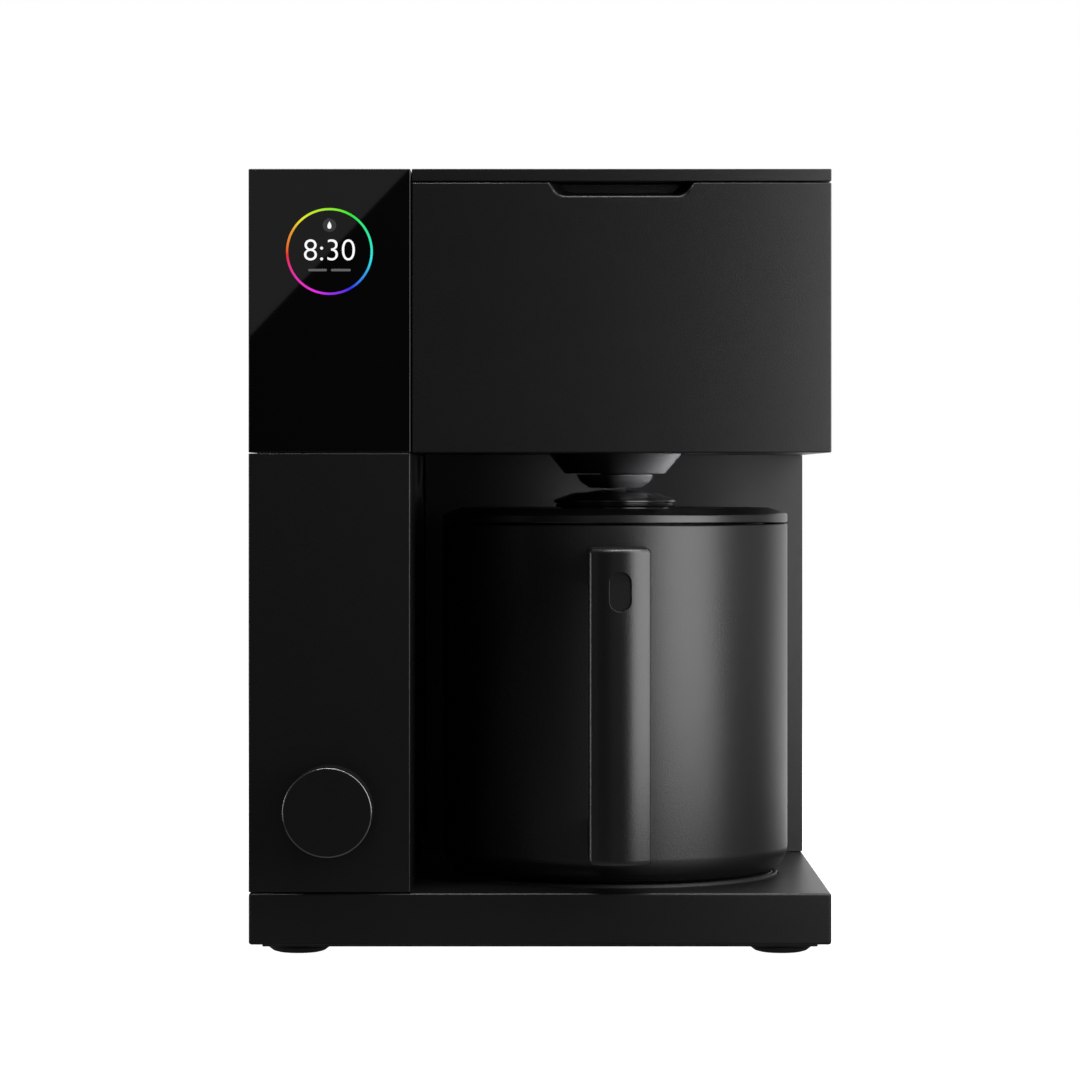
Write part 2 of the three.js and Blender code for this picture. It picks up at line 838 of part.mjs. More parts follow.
// The valve housing that hangs through the tank's floor, slotted at the top to let water in.
function tankOutlet() {
  const flangeZ = tankBottom + tankWall + gap;
  const bore = 6.5;
  const lip = 4;
  const housing = turned(
    [
      [lip, spigotBottom],
      [spigotRadius, spigotBottom],
      [spigotRadius, flangeZ],
      [12, flangeZ],
      [12, flangeZ + 2],
      [2.2, flangeZ + 2],
      [2.2, flangeZ + 0.6],
      [bore, flangeZ + 0.6],
      [bore, spigotBottom + 1.5],
      [lip, spigotBottom + 1.5],
    ],
    20,
  );
  const slot = slab([3.6, 6], [-2, 2], [flangeZ - 1, flangeZ + 3]);
  return cut(housing, slot, slot.clone().rotateZ(Math.PI));
}
const outlet = part("tank_outlet", tankOutlet(), innerPlastic);
const poppet = part(
  "tank_poppet",
  turned(
    [
      [0, seatPinTop + 0.4],
      [5.8, seatPinTop + 0.4],
      [5.8, seatPinTop + 2.4],
      [1.6, seatPinTop + 2.4],
      [1.6, 76],
      [0, 76],
    ],
    16,
  ),
  silicone,
);
for (const mesh of [outlet, poppet]) {
  mesh.position.set(seatX, seatY, 0);
  object.add(mesh);
}

const tankLid = join(
  lidPlate(tankX, tankY[0], tankHingeY, tankEar),
  slab(
    [tankX[0] + tankWall + 1.2, tankX[1] - tankWall - 1.2],
    [tankY[0] + tankWall + 1.2, tankHingeY - 12],
    [lidBottom - 4, lidBottom + 1],
  ),
);
object.add(part("tank_lid", tankLid, matteBlack));
object.add(part("tank_hinge_strip", hingeStrip(tankX, tankHingeY, tankEar), matteBlack));
object.add(part("tank_hinge_pin", hingePin(tankX, tankHingeY), stainless));

// ---------------------------------------------------------------- basket and drip stop

const basketFloor = 187;
const basketRadius = 61;
const basketSkin = 2;
const coneSlope = 0.819; // radius gained per millimetre of height
const coneFoot = 20.4;
const coneTop = basketFloor + (basketRadius - coneFoot) / coneSlope;
const flangeZ = deckZ[1] + gap;
const valveTravel = 3;
const dripBottom = 181.2;
const valveSeat = 191.5;

function basketPieces() {
  const group = new THREE.Group();
  group.position.set(brewOffsetX, brewY, 0);
  const innerFloor = basketFloor + basketSkin;
  const basketRim = flangeZ + 2;
  const holder = [
    [6.2, basketFloor],
    [coneFoot, basketFloor],
    [basketRadius, coneTop],
    [basketRadius, flangeZ],
    [basketRadius + 5, flangeZ],
    [basketRadius + 5, basketRim],
    [basketRadius - basketSkin, basketRim],
    [basketRadius - basketSkin, coneTop + 0.8],
    [coneFoot - 0.9, innerFloor],
    [6.2, innerFloor],
  ];
  group.add(part("basket_holder", turned(holder, 36), softBlack));

  const insertFloor = innerFloor + 11;
  const insertRim = basketRim + gap;
  const insertRadius = basketRadius - basketSkin - 1.2;
  const insert = [
    [10, insertFloor],
    [27, insertFloor],
    [insertRadius, coneTop + 1.4],
    [insertRadius, insertRim],
    [insertRadius + 5, insertRim],
    [insertRadius + 5, insertRim + 1.3],
    [insertRadius - 1.5, insertRim + 1.3],
    [insertRadius - 1.5, coneTop + 1.9],
    [26, insertFloor + 1.5],
    [10, insertFloor + 1.5],
  ];
  group.add(part("filter_insert", turned(insert, 32), softBlack));

  const underFloor = basketFloor - gap;
  const bore = 5;
  const dripBody = [
    [bore, dripBottom],
    [10.6, dripBottom],
    [12.8, dripBottom + 1.2],
    [14.6, dripBottom + 3.2],
    [15.8, underFloor],
    [5.8, underFloor],
    [5.8, valveSeat],
    [3, valveSeat],
    [3, valveSeat - 1.5],
    [bore, valveSeat - 1.5],
  ];
  group.add(part("drip_stop_body", turned(dripBody, 24), softBlack));

  const valve = [
    [0, dripBottom - 0.2],
    [4.5, dripBottom - 0.2],
    [4.5, dripBottom + 1.6],
    [2.4, dripBottom + 1.6],
    [2.4, valveSeat + gap],
    [6.5, valveSeat + gap],
    [5.6, valveSeat + 1.8],
    [0, valveSeat + 1.8],
  ];
  group.add(part("drip_valve", turned(valve, 16), silicone));
  const coil = spring(3.6, 0.8, dripBottom + 1.6 + gap, valveSeat - 1.5 - gap, 4);
  group.add(part("drip_valve_spring", coil, springSteel));
  return group;
}
object.add(basketPieces());

// ---------------------------------------------------------------- carafe

const carafeBottom = padTop + gap;
const carafeTop = 166.8;
const carafeFillet = 12;
const carafeSkin = 1.6;
const neckRadius = 61.5;
const domeRadius = 24.8;
const domeTop = 180.4;

function carafeBody() {
  const footRing = carafeRadius - carafeFillet;
  const bend = carafeBottom + carafeFillet;
  const innerBend = carafeFillet - carafeSkin;
  const shell = [
    [0, carafeBottom + 1.2],
    [footRing - 8, carafeBottom + 1.2],
    [footRing - 6, carafeBottom],
    ...arc(footRing, bend, carafeFillet, -90, 0, 5),
    [carafeRadius - 0.3, carafeTop - 1],
    [carafeRadius - 1, carafeTop],
    [carafeRadius - 1.9, carafeTop],
    ...arc(footRing, bend, innerBend, 0, -90, 3),
    [0, carafeBottom + carafeSkin + 1.2],
  ];
  const linerRadius = carafeRadius - 3.4;
  const linerFoot = carafeBottom + 5;
  const linerSkin = 1.4;
  const bowl = 6;
  const flask = [
    [0, linerFoot],
    ...arc(linerRadius - bowl, linerFoot + bowl, bowl, -90, 0, 3),
    [linerRadius, carafeTop],
    [linerRadius - linerSkin, carafeTop],
    ...arc(linerRadius - bowl, linerFoot + bowl, bowl - linerSkin, 0, -90, 3),
    [0, linerFoot + linerSkin],
  ];
  const collar = [
    [neckRadius, carafeTop - 12],
    [neckRadius + 3.3, carafeTop - 12],
    [neckRadius + 3.3, carafeTop],
    [neckRadius, carafeTop],
  ];
  return [
    part("carafe_shell", turned(shell, 40), blackSteel),
    part("carafe_flask", turned(flask, 32), stainless),
    part("carafe_collar", turned(collar, 32), innerPlastic),
  ];
}

const gripWidth = 24;
const gripThickness = 15;
const gripZ = [38, 158.5];
const gripFront = -(brewInset + gripReach); // measured from the carafe's axis
const armHeight = 15;
const gripCorner = 8;

// The grip's loop seen from the side, then its plan, whose front bows out between soft corners.
function carafeHandle() {
  const armEnd = -carafeRadius + 10;
  const half = gripWidth / 2;
  const overshoot = 1;
  const loop = roundedRectangle([gripFront - overshoot, 0], gripZ, 4);
  const fingers = roundedRectangle(
    [gripFront + gripThickness, 0],
    [gripZ[0] + armHeight, gripZ[1] - armHeight],
    gripCorner,
  );

  const bow = 2;
  const shoulder = gripFront + bow + 1.5;
  const corner = 3;
  const plan = new THREE.Shape();
  plan.moveTo(-half, armEnd);
  plan.lineTo(-half, shoulder + 1.5);
  plan.quadraticCurveTo(-half, shoulder - 0.6, corner - half, gripFront + bow);
  plan.quadraticCurveTo(0, gripFront - bow, half - corner, gripFront + bow);
  plan.quadraticCurveTo(half, shoulder - 0.6, half, shoulder + 1.5);
  plan.lineTo(half, armEnd);
  const block = extrude(plan, gripZ[1] - gripZ[0] + 2).translate(0, 0, gripZ[0] - 1);
  return cut(
    common(extrudeAlongX(loop, -half - 1, half + 1), block),
    extrudeAlongX(fingers, -half - 1, half + 1),
    rod(carafeRadius + gap, gripZ[0] - 2, gripZ[1] + 2, 40),
  );
}

function carafeLid() {
  const rimBottom = carafeTop + gap + 0.3;
  const plug = neckRadius - 1.5;
  const lid = [
    [22.3, rimBottom + 1],
    [plug - 2.5, rimBottom + 1],
    [plug - 2.5, carafeTop - 9],
    [plug, carafeTop - 9],
    [plug, rimBottom],
    [carafeRadius - 0.2, rimBottom],
    [carafeRadius, rimBottom + 1],
    [carafeRadius, rimBottom + 2.9],
    [carafeRadius - 0.6, rimBottom + 3.6],
    [carafeRadius - 7.5, rimBottom + 5.8],
    [22.3, rimBottom + 5.4],
  ];
  const rim = rimBottom + 6;
  const dome = [
    [20.4, rim - 7],
    [22, rim - 7],
    [22, rim],
    [domeRadius - 0.9, rim],
    [domeRadius, rim + 1.7],
    [domeRadius, rim + 3],
    [17.5, rim + 5.7],
    [12, domeTop - 0.7],
    [5, domeTop],
    [5, domeTop - 1.8],
    [12, domeTop - 2.4],
    [20.4, rim + 2.6],
  ];
  const tube = [
    [5, 50],
    [6.4, 50],
    [6.4, domeTop - 2.6],
    [5, domeTop - 2.6],
  ];
  return [
    part("carafe_lid", turned(lid, 40), softBlack),
    part("lid_dome", turned(dome, 32), softBlack),
    part("brew_tube", turned(tube, 16), innerPlastic),
  ];
}

const carafe = new THREE.Group();
carafe.position.set(brewOffsetX, brewY, 0);
carafe.add(...carafeBody(), part("carafe_handle", carafeHandle(), softBlack), ...carafeLid());
object.add(carafe);

export default object;
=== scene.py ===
"""Looks of a countertop drip coffee brewer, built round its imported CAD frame.

Metres, +X right, +Y back, +Z up, as in the frame. Positions come from the CAD nodes' boxes.
"""

import math

import bmesh
import bpy
from mathutils import Matrix, Vector


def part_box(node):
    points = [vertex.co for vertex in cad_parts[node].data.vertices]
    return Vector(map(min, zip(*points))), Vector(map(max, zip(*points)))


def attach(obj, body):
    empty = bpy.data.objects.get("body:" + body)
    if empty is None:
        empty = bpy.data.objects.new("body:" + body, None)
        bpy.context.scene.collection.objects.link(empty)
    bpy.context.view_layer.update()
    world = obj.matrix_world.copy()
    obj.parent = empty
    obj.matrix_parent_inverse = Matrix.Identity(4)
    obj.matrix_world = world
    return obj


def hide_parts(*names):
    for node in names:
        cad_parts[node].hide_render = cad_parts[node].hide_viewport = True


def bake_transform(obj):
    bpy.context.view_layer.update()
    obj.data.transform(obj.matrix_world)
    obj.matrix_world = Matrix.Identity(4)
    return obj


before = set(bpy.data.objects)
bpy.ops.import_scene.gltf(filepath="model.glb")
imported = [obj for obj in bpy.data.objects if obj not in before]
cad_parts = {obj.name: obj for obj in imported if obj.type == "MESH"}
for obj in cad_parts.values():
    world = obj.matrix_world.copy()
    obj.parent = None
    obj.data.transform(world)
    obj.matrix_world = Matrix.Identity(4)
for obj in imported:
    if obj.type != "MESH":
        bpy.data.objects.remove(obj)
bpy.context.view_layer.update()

MM = 0.001
ROUND_STEPS = 112  # segments of a large round piece
SMALL_STEPS = 40
SHARP = math.radians(32)  # an edge that turns more than this stays crisp


def mm(*values):
    return [value * MM for value in values]


# ---------------------------------------------------------------- mesh helpers


def place(axis, a, b, along):
    """A point from its two coordinates across an axis and the one along it."""
    return {"X": (along, a, b), "Y": (a, along, b), "Z": (a, b, along)}[axis]


def loft(sections, axis):
    """A solid through several outlines of as many points, given as (place on the axis, outline).

    An outline is drawn on the other two axes in X, Y, Z order.
    """
    bm = bmesh.new()
    rows = []
    for along, outline in sections:
        rows.append([bm.verts.new(place(axis, a, b, along)) for a, b in outline])
    bm.faces.new(rows[0])
    bm.faces.new(rows[-1])
    for near, far in zip(rows, rows[1:]):
        for i in range(len(near)):
            bm.faces.new((near[i - 1], near[i], far[i], far[i - 1]))
    bmesh.ops.recalc_face_normals(bm, faces=bm.faces)
    return bm


def prism(outline, axis, start, end):
    """A bar with the outline as its section, drawn on the other two axes in X, Y, Z order."""
    return loft([(start, outline), (end, outline)], axis)


def block(low, high):
    return prism(rectangle(low[0], high[0], low[1], high[1]), "Z", low[2], high[2])


def revolve(profile, steps=ROUND_STEPS):
    """A body turned about Z from (radius, z) points that end on the axis or close on themselves."""
    bm = bmesh.new()
    rows = []
    for radius, z in profile:
        count = steps if radius > 0 else 1
        rows.append([bm.verts.new((x, y, z)) for x, y in circle(radius, count)])
    pairs = list(zip(rows, rows[1:]))
    if profile[0][0] > 0:
        pairs.append((rows[-1], rows[0]))
    for lower, upper in pairs:
        for i in range(steps):
            ring = [lower[i % len(lower)], lower[(i + 1) % steps % len(lower)]]
            ring += [upper[(i + 1) % steps % len(upper)], upper[i % len(upper)]]
            corners = list(dict.fromkeys(ring))
            if len(corners) > 2:
                bm.faces.new(corners)
    bmesh.ops.recalc_face_normals(bm, faces=bm.faces)
    return bm


def moved(bm, offset):
    bmesh.ops.translate(bm, verts=bm.verts, vec=Vector(offset))
    return bm


def centred(bm, centre):
    return moved(bm, (centre.x, centre.y, 0))


def turned(bm, angle, axis, about=(0, 0, 0)):
    matrix = Matrix.Rotation(angle, 3, axis)
    bmesh.ops.rotate(bm, verts=bm.verts, cent=about, matrix=matrix)
    return bm


def facing_front(bm):
    """The body with its own +Z laid along -Y."""
    return turned(bm, math.pi / 2, "X")


def rod(radius, start, end, axis="Z", at=(0, 0), steps=SMALL_STEPS):
    """A round bar along an axis; at is its place on the other two axes."""
    return prism(circle(radius, steps, *at), axis, start, end)


def rounded(points, radius, steps=5):
    """A closed outline with its corners rounded. radius is one number, or one for each corner."""
    radii = radius if isinstance(radius, (list, tuple)) else [radius] * len(points)
    outline = []
    for i, corner in enumerate(points):
        if radii[i] <= 0:
            outline.append(tuple(corner))
            continue
        here = Vector(corner)
        before = Vector(points[i - 1]) - here
        after = Vector(points[(i + 1) % len(points)]) - here
        half = before.angle(after) / 2
        reach = min(radii[i] / math.tan(half), before.length * 0.49, after.length * 0.49)
        start, end = here + before.normalized() * reach, here + after.normalized() * reach
        weight = math.sin(half)  # of the conic that is a circular arc
        for k in range(steps + 1):
            t = k / steps
            a, b, c = (1 - t) ** 2, 2 * t * (1 - t) * weight, t * t
            point = (a * start + b * here + c * end) / (a + b + c)
            outline.append(tuple(point))
    return outline


def rectangle(x0, x1, y0, y1, radius=0.0, steps=5):
    return rounded([(x0, y0), (x1, y0), (x1, y1), (x0, y1)], radius, steps)


def upright(edge):
    return abs(edge.verts[0].co.z - edge.verts[1].co.z) > 0.9 * edge.calc_length()


def level(edge):
    return not upright(edge)


def centre_of(edge):
    return (edge.verts[0].co + edge.verts[1].co) / 2


def soften(bm, radius, segments=3, where=None):
    """Rounds the edges that turn sharply, or those of them that where() accepts."""
    edges = [
        e
        for e in bm.edges
        if len(e.link_faces) == 2
        and e.calc_face_angle(0) > SHARP
        and (where is None or where(e))
    ]
    bmesh.ops.bevel(
        bm,
        geom=edges,
        offset=radius,
        segments=segments,
        profile=0.5,
        affect="EDGES",
        clamp_overlap=True,
    )
    return bm


def new_object(name, data):
    obj = bpy.data.objects.new(name, data)
    bpy.context.scene.collection.objects.link(obj)
    return obj


def mesh_object(name, bm):
    mesh = bpy.data.meshes.new(name)
    bm.to_mesh(mesh)
    bm.free()
    return new_object(name, mesh)


def final_body(obj):
    """The body that an object's modifiers or curve settings make."""
    bpy.context.view_layer.update()
    graph = bpy.context.evaluated_depsgraph_get()
    bm = bmesh.new()
    bm.from_mesh(obj.evaluated_get(graph).to_mesh())
    return bm


def combined(parts, cutters=()):
    """The union of parts, less the cutters."""
    first, *others = [mesh_object("work", bm) for bm in parts]
    tools = [(o, "UNION") for o in others]
    tools += [(mesh_object("work", bm), "DIFFERENCE") for bm in cutters]
    for tool, operation in tools:
        step = first.modifiers.new("step", "BOOLEAN")
        step.object, step.operation, step.solver = tool, operation, "EXACT"
    bm = final_body(first)
    for obj in [first, *(tool for tool, _ in tools)]:
        bpy.data.objects.remove(obj)
    bmesh.ops.remove_doubles(bm, verts=bm.verts, dist=1e-7)
    bmesh.ops.dissolve_limit(
        bm, angle_limit=math.radians(0.4), verts=bm.verts, edges=bm.edges
    )
    return bm


def plate(outline, holes, thickness, edge):
    """A flat sheet in XY with rounded rims round its outline and holes, from z 0 to thickness."""
    curve = bpy.data.curves.new("work", "CURVE")
    curve.dimensions, curve.fill_mode = "2D", "BOTH"
    curve.extrude = thickness / 2 - edge
    curve.bevel_depth, curve.bevel_resolution, curve.offset = edge, 2, -edge
    for loop in [outline, *holes]:
        spline = curve.splines.new("POLY")
        spline.points.add(len(loop) - 1)
        spline.use_cyclic_u = True
        for point, (x, y) in zip(spline.points, loop):
            point.co = (x, y, 0, 1)
    obj = new_object("work", curve)
    bm = final_body(obj)
    bpy.data.objects.remove(obj)
    bmesh.ops.remove_doubles(bm, verts=bm.verts, dist=1e-7)
    bmesh.ops.recalc_face_normals(bm, faces=bm.faces)
    return moved(bm, (0, 0, thickness / 2))


def circle(radius, steps=SMALL_STEPS, x=0.0, y=0.0):
    return [
        (
            x + radius * math.cos(2 * math.pi * i / steps),
            y + radius * math.sin(2 * math.pi * i / steps),
        )
        for i in range(steps)
    ]


def joined(*bodies):
    """Separate closed bodies held in one mesh."""
    bm = bmesh.new()
    for body in bodies:
        mesh = bpy.data.meshes.new("work")
        body.to_mesh(mesh)
        body.free()
        bm.from_mesh(mesh)
        bpy.data.meshes.remove(mesh)
    return bm


def piece(name, bm, body, material, replaced=(), bends=None):
    """Makes the visible piece, smooth but for its crisp edges, and puts it on its body, unless
    bends is given: then its place is baked into its mesh and it goes on no body.

    bends is meant as the second body and the two places between which the piece passes to that one;
    only whether it is given is used.
    """
    obj = mesh_object(name, bm)
    obj.data.materials.append(material)
    obj.data.shade_smooth()
    obj.data.set_sharp_from_angle(angle=SHARP)
    normals = obj.modifiers.new("weighted_normals", "WEIGHTED_NORMAL")
    normals.keep_sharp = True
    if bends:
        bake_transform(obj)
    else:
        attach(obj, body)
    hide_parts(*([replaced] if isinstance(replaced, str) else replaced))
    return obj


def middle(node):
    low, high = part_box(node)
    return (low + high) / 2


# ---------------------------------------------------------------- materials


def noise(nodes, links, coordinates, scale, detail=3.0, roughness=0.55):
    texture = nodes.new("ShaderNodeTexNoise")
    texture.inputs["Scale"].default_value = scale
    texture.inputs["Detail"].default_value = detail
    texture.inputs["Roughness"].default_value = roughness
    links.new(coordinates, texture.inputs["Vector"])
    return texture.outputs["Fac"]


def spread(nodes, links, value, low, high):
    """value, which runs about its middle, mapped to low..high."""
    mapping = nodes.new("ShaderNodeMapRange")
    mapping.inputs["From Min"].default_value = 0.3
    mapping.inputs["From Max"].default_value = 0.7
    mapping.inputs["To Min"].default_value = low
    mapping.inputs["To Max"].default_value = high
    links.new(value, mapping.inputs["Value"])
    return mapping.outputs["Result"]


def surface(
    name,
    colour,
    roughness,
    metallic=0.0,
    grain=0.0,
    grain_size=0.5 * MM,
    brush=None,
    tone=0.06,
    **sockets,
):
    """A material with a fine grain, a slow change of tone and gloss, and optional brush lines.

    grain is the height of the grain as a share of its size. brush stretches the grain: the factors
    by which it is squeezed along X, Y and Z. sockets are values for the shader's own sockets.
    """
    material = bpy.data.materials.new(name)
    material.use_nodes = True
    nodes, links = material.node_tree.nodes, material.node_tree.links
    shader = nodes["Principled BSDF"]
    shader.inputs["Metallic"].default_value = metallic
    for socket, value in sockets.items():
        shader.inputs[socket.replace("_", " ")].default_value = value

    coordinates = nodes.new("ShaderNodeTexCoord").outputs["Object"]
    cloud = noise(nodes, links, coordinates, 38.0, 4.0)
    mix = nodes.new("ShaderNodeMix")
    mix.data_type = "RGBA"
    links.new(spread(nodes, links, cloud, 0.0, 1.0), mix.inputs["Factor"])
    mix.inputs["A"].default_value = (*[c * (1 - tone) for c in colour], 1)
    mix.inputs["B"].default_value = (*[c * (1 + tone) for c in colour], 1)
    links.new(mix.outputs["Result"], shader.inputs["Base Color"])
    smudge = noise(nodes, links, coordinates, 90.0, 5.0)
    links.new(
        spread(nodes, links, smudge, roughness * 0.98, roughness * 1.02),
        shader.inputs["Roughness"],
    )
    if grain:
        stretched = coordinates
        if brush:
            mapping = nodes.new("ShaderNodeMapping")
            mapping.inputs["Scale"].default_value = brush
            links.new(coordinates, mapping.inputs["Vector"])
            stretched = mapping.outputs["Vector"]
        fine = noise(nodes, links, stretched, 1 / grain_size, 2.0)
        bump = nodes.new("ShaderNodeBump")
        bump.inputs["Strength"].default_value = 1.0
        bump.inputs["Distance"].default_value = grain * grain_size
        links.new(fine, bump.inputs["Height"])
        links.new(bump.outputs["Normal"], shader.inputs["Normal"])
    return material


def glowing(name, colour, strength=1.0):
    material = bpy.data.materials.new(name)
    material.use_nodes = True
    shader = material.node_tree.nodes["Principled BSDF"]
    shader.inputs["Base Color"].default_value = (0, 0, 0, 1)
    shader.inputs["Roughness"].default_value = 0.3
    shader.inputs["Emission Color"].default_value = (*colour, 1)
    shader.inputs["Emission Strength"].default_value = strength
    return material


MATTE = surface(
    "matte_black", (0.0034, 0.0034, 0.0035), 0.365, grain=0.10, Specular_IOR_Level=0.36
)
SOFT = surface(
    "soft_black", (0.003, 0.003, 0.0031), 0.345, grain=0.08, Specular_IOR_Level=0.55
)
WALL = surface(
    "matte_bay_wall", (0.0034, 0.0034, 0.0035), 0.45, grain=0.10, Specular_IOR_Level=0.5
)
# A lighter metal for the dial's rim chamfer: its colour paints a highlight round the rim.
PAINTED_RIM_HIGHLIGHT = surface("painted_rim_highlight", (0.16, 0.16, 0.165), 0.3, 1.0)
SEMI_GLOSS = surface("semi_gloss_black", (0.004, 0.004, 0.0042), 0.22, grain=0.02)
GLASS = surface("black_glass", (0.0012, 0.0012, 0.0014), 0.015)
COATED_STEEL = surface("coated_steel", (0.006, 0.0061, 0.0063), 0.37, grain=0.12)
STAINLESS = surface(
    "stainless", (0.60, 0.60, 0.59), 0.24, 1.0, grain=0.25, grain_size=0.4 * MM, brush=(1, 1, 0.05)
)
WIRE = surface("spring_wire", (0.45, 0.45, 0.46), 0.28, 1.0)
RUBBER = surface("rubber", (0.010, 0.010, 0.010), 0.75, grain=0.2)
SILICONE = surface("silicone", (0.014, 0.014, 0.015), 0.52, grain=0.06)
HOSE = surface("clear_hose", (0.70, 0.72, 0.73), 0.35, Transmission_Weight=0.5)
SMOKED = surface(
    "smoked_tank", (0.17, 0.18, 0.19), 0.06, tone=0.04, Transmission_Weight=1.0, IOR=1.49
)
INNER = surface("inner_plastic", (0.014, 0.014, 0.015), 0.5, grain=0.12)
BOARD = surface("circuit_board", (0.010, 0.075, 0.036), 0.45, grain=0.05)
CAST = surface("cast_aluminium", (0.55, 0.56, 0.57), 0.42, 1.0, grain=0.3, grain_size=0.8 * MM)
ZINC = surface("zinc_plate", (0.42, 0.43, 0.44), 0.36, 1.0, grain=0.1)


# ---------------------------------------------------------------- base


def base_pieces():
    low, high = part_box("base_tray")
    pad_low, pad_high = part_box("carafe_pad")
    centre = middle("carafe_pad")
    rim, roof, room = mm(8, 2.5, 0.3)
    hollow = block(
        (low.x + rim, low.y + rim, low.z - rim), (high.x - rim, high.y - rim, high.z - roof)
    )
    pad_radius = (pad_high.x - pad_low.x) / 2
    recess = revolve(
        [
            (0, pad_low.z - room), (pad_radius + room, pad_low.z - room),
            (pad_radius + room, high.z - room), (pad_radius + 2 * room, high.z + room),
            (0, high.z + room),
        ]
    )
    tray = [soften(block(low, high), 1.1 * MM, 4)]
    tray = combined(tray, [hollow, centred(recess, centre)])
    piece("base", tray, "machine", MATTE, "base_tray")

    low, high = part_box("bottom_cover")
    cover = soften(block(low, high), 0.25 * MM, 2)
    piece("underside_plate", cover, "machine", SOFT, "bottom_cover")

    thickness = pad_high.z - pad_low.z
    ridge, pitch, lip, edge = mm(0.35, 6, 1.4, 0.4)
    profile = [(0, pad_low.z), (pad_radius, pad_low.z)]
    profile += [(pad_radius, pad_high.z - edge), (pad_radius - edge, pad_high.z)]
    radius = pad_radius - lip
    while radius > pitch:
        profile += [
            (radius, pad_high.z), (radius - ridge, pad_high.z - thickness * 0.2),
            (radius - 2 * ridge, pad_high.z - thickness * 0.2),
            (radius - 3 * ridge, pad_high.z),
        ]
        radius -= pitch
    profile.append((0, pad_high.z))
    pad = centred(revolve(profile), centre)
    piece("pad", pad, "machine", SILICONE, "carafe_pad")


def feet():
    for row in ("front", "rear"):
        for side in ("left", "right"):
            node = f"foot_{row}_{side}"
            low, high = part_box(node)
            centre = middle(node)
            radius = (high.x - low.x) / 2
            flat = 6.6 * MM
            side_line = [(flat, 0), (radius - 1.8 * MM, MM), (radius, 2.4 * MM), (radius, high.z)]
            profile = [(0, 0), *rounded(side_line, mm(2, 1.6, 0.8, 0.3)), (0, high.z)]
            foot = centred(revolve(profile, 64), centre)
            piece(f"{side}_{row}_foot", foot, "machine", RUBBER, node)


# ---------------------------------------------------------------- tower

SHELL = 2.5 * MM


def channel(low, high, left_end):
    """A front wall with a short leg on the left and a long one on the right, as one outline."""
    outline = [
        (low.x, left_end), (low.x, low.y), (high.x, low.y), (high.x, high.y),
        (high.x - SHELL, high.y), (high.x - SHELL, low.y + SHELL),
        (low.x + SHELL, low.y + SHELL), (low.x + SHELL, left_end),
    ]
    return prism(outline, "Z", low.z, high.z)


def tower_pieces():
    low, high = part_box("tower_lower_shell")
    left_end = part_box("partition_wall")[1].y + 0.3 * MM
    shaft = middle("knob_shaft")
    hole_radius = (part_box("knob_shaft")[1].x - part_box("knob_shaft")[0].x) / 2 + 1 * MM
    hole = rod(hole_radius, low.y - MM, low.y + 2 * SHELL, "Y", (shaft.x, shaft.z))
    hose_radius, passage_radius, hose_z = mm(5, 4.8, 38)
    hose_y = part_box("pump_hose")[1].y - hose_radius
    passage = rod(passage_radius, high.x - 2 * SHELL, high.x + MM, "X", (hose_y, hose_z))
    shell = soften(soften(channel(low, high, left_end), 0.7 * MM, 3, upright), 0.35 * MM)
    lower = combined([shell], [hole, passage])
    piece("lower_tower", lower, "machine", MATTE, "tower_lower_shell")

    low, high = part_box("tower_upper_shell")
    display = middle("display_module")
    window_radius = 19 * MM
    window = rod(window_radius, low.y - MM, low.y + 2 * SHELL, "Y", (display.x, display.z), 64)
    roof = block((low.x, low.y, high.z - SHELL), (high.x, left_end, high.z))
    body = combined([channel(low, high, left_end), roof])
    upper = combined([soften(body, 0.35 * MM)], [window])
    piece("upper_tower", upper, "machine", MATTE, "tower_upper_shell")

    low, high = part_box("display_glass")
    pane = soften(block(low, high), 0.4 * MM, 4)
    piece("glass_front", pane, "machine", GLASS, "display_glass")


def dial_pieces():
    """The dial, drawn with +Z out of the front face and then laid along -Y."""
    low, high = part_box("knob_cap")
    centre = middle("knob_cap")
    radius, length = (high.x - low.x) / 2, high.y - low.y
    shaft_low, shaft_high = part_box("knob_shaft")
    bore = (shaft_high.x - shaft_low.x) / 2 + 0.3 * MM
    bore_end = high.y - shaft_low.y + 0.3 * MM
    skin, hub, edge = mm(2.2, 6, 0.55)
    web = length - 3.2 * MM
    profile = rounded(
        [
            (radius, length), (radius, 0), (radius - skin, 0), (radius - skin, web), (hub, web),
            (hub, 1.5 * MM), (bore, 1.5 * MM), (bore, bore_end),
        ],
        [edge, *mm(0.4, 0.4, 0.5, 0.5, 0.2, 0.2, 0)],
    )
    dish = 0.25 * MM  # the face is very slightly hollow
    profile = [(0, length - dish), (radius * 0.55, length - dish * 0.8), *profile, (0, bore_end)]
    cap = revolve(profile)
    # The chamfer round the face's rim takes the second material, whose lighter colour is a painted
    # highlight.
    for face in cap.faces:
        middle_of_face = face.calc_center_median()
        reach = math.hypot(middle_of_face.x, middle_of_face.y)
        if reach > radius - edge and middle_of_face.z > length - edge:
            face.material_index = 1
    moved(facing_front(cap), (centre.x, high.y, centre.z))
    dial = piece("dial", cap, "knob", MATTE, "knob_cap")
    dial.data.materials.append(PAINTED_RIM_HIGHLIGHT)


# ---------------------------------------------------------------- display

HUES = [100, 120, 140, 165, 215, 240, 265, 315, 335, 365, 385, 435, 460]  # in degrees


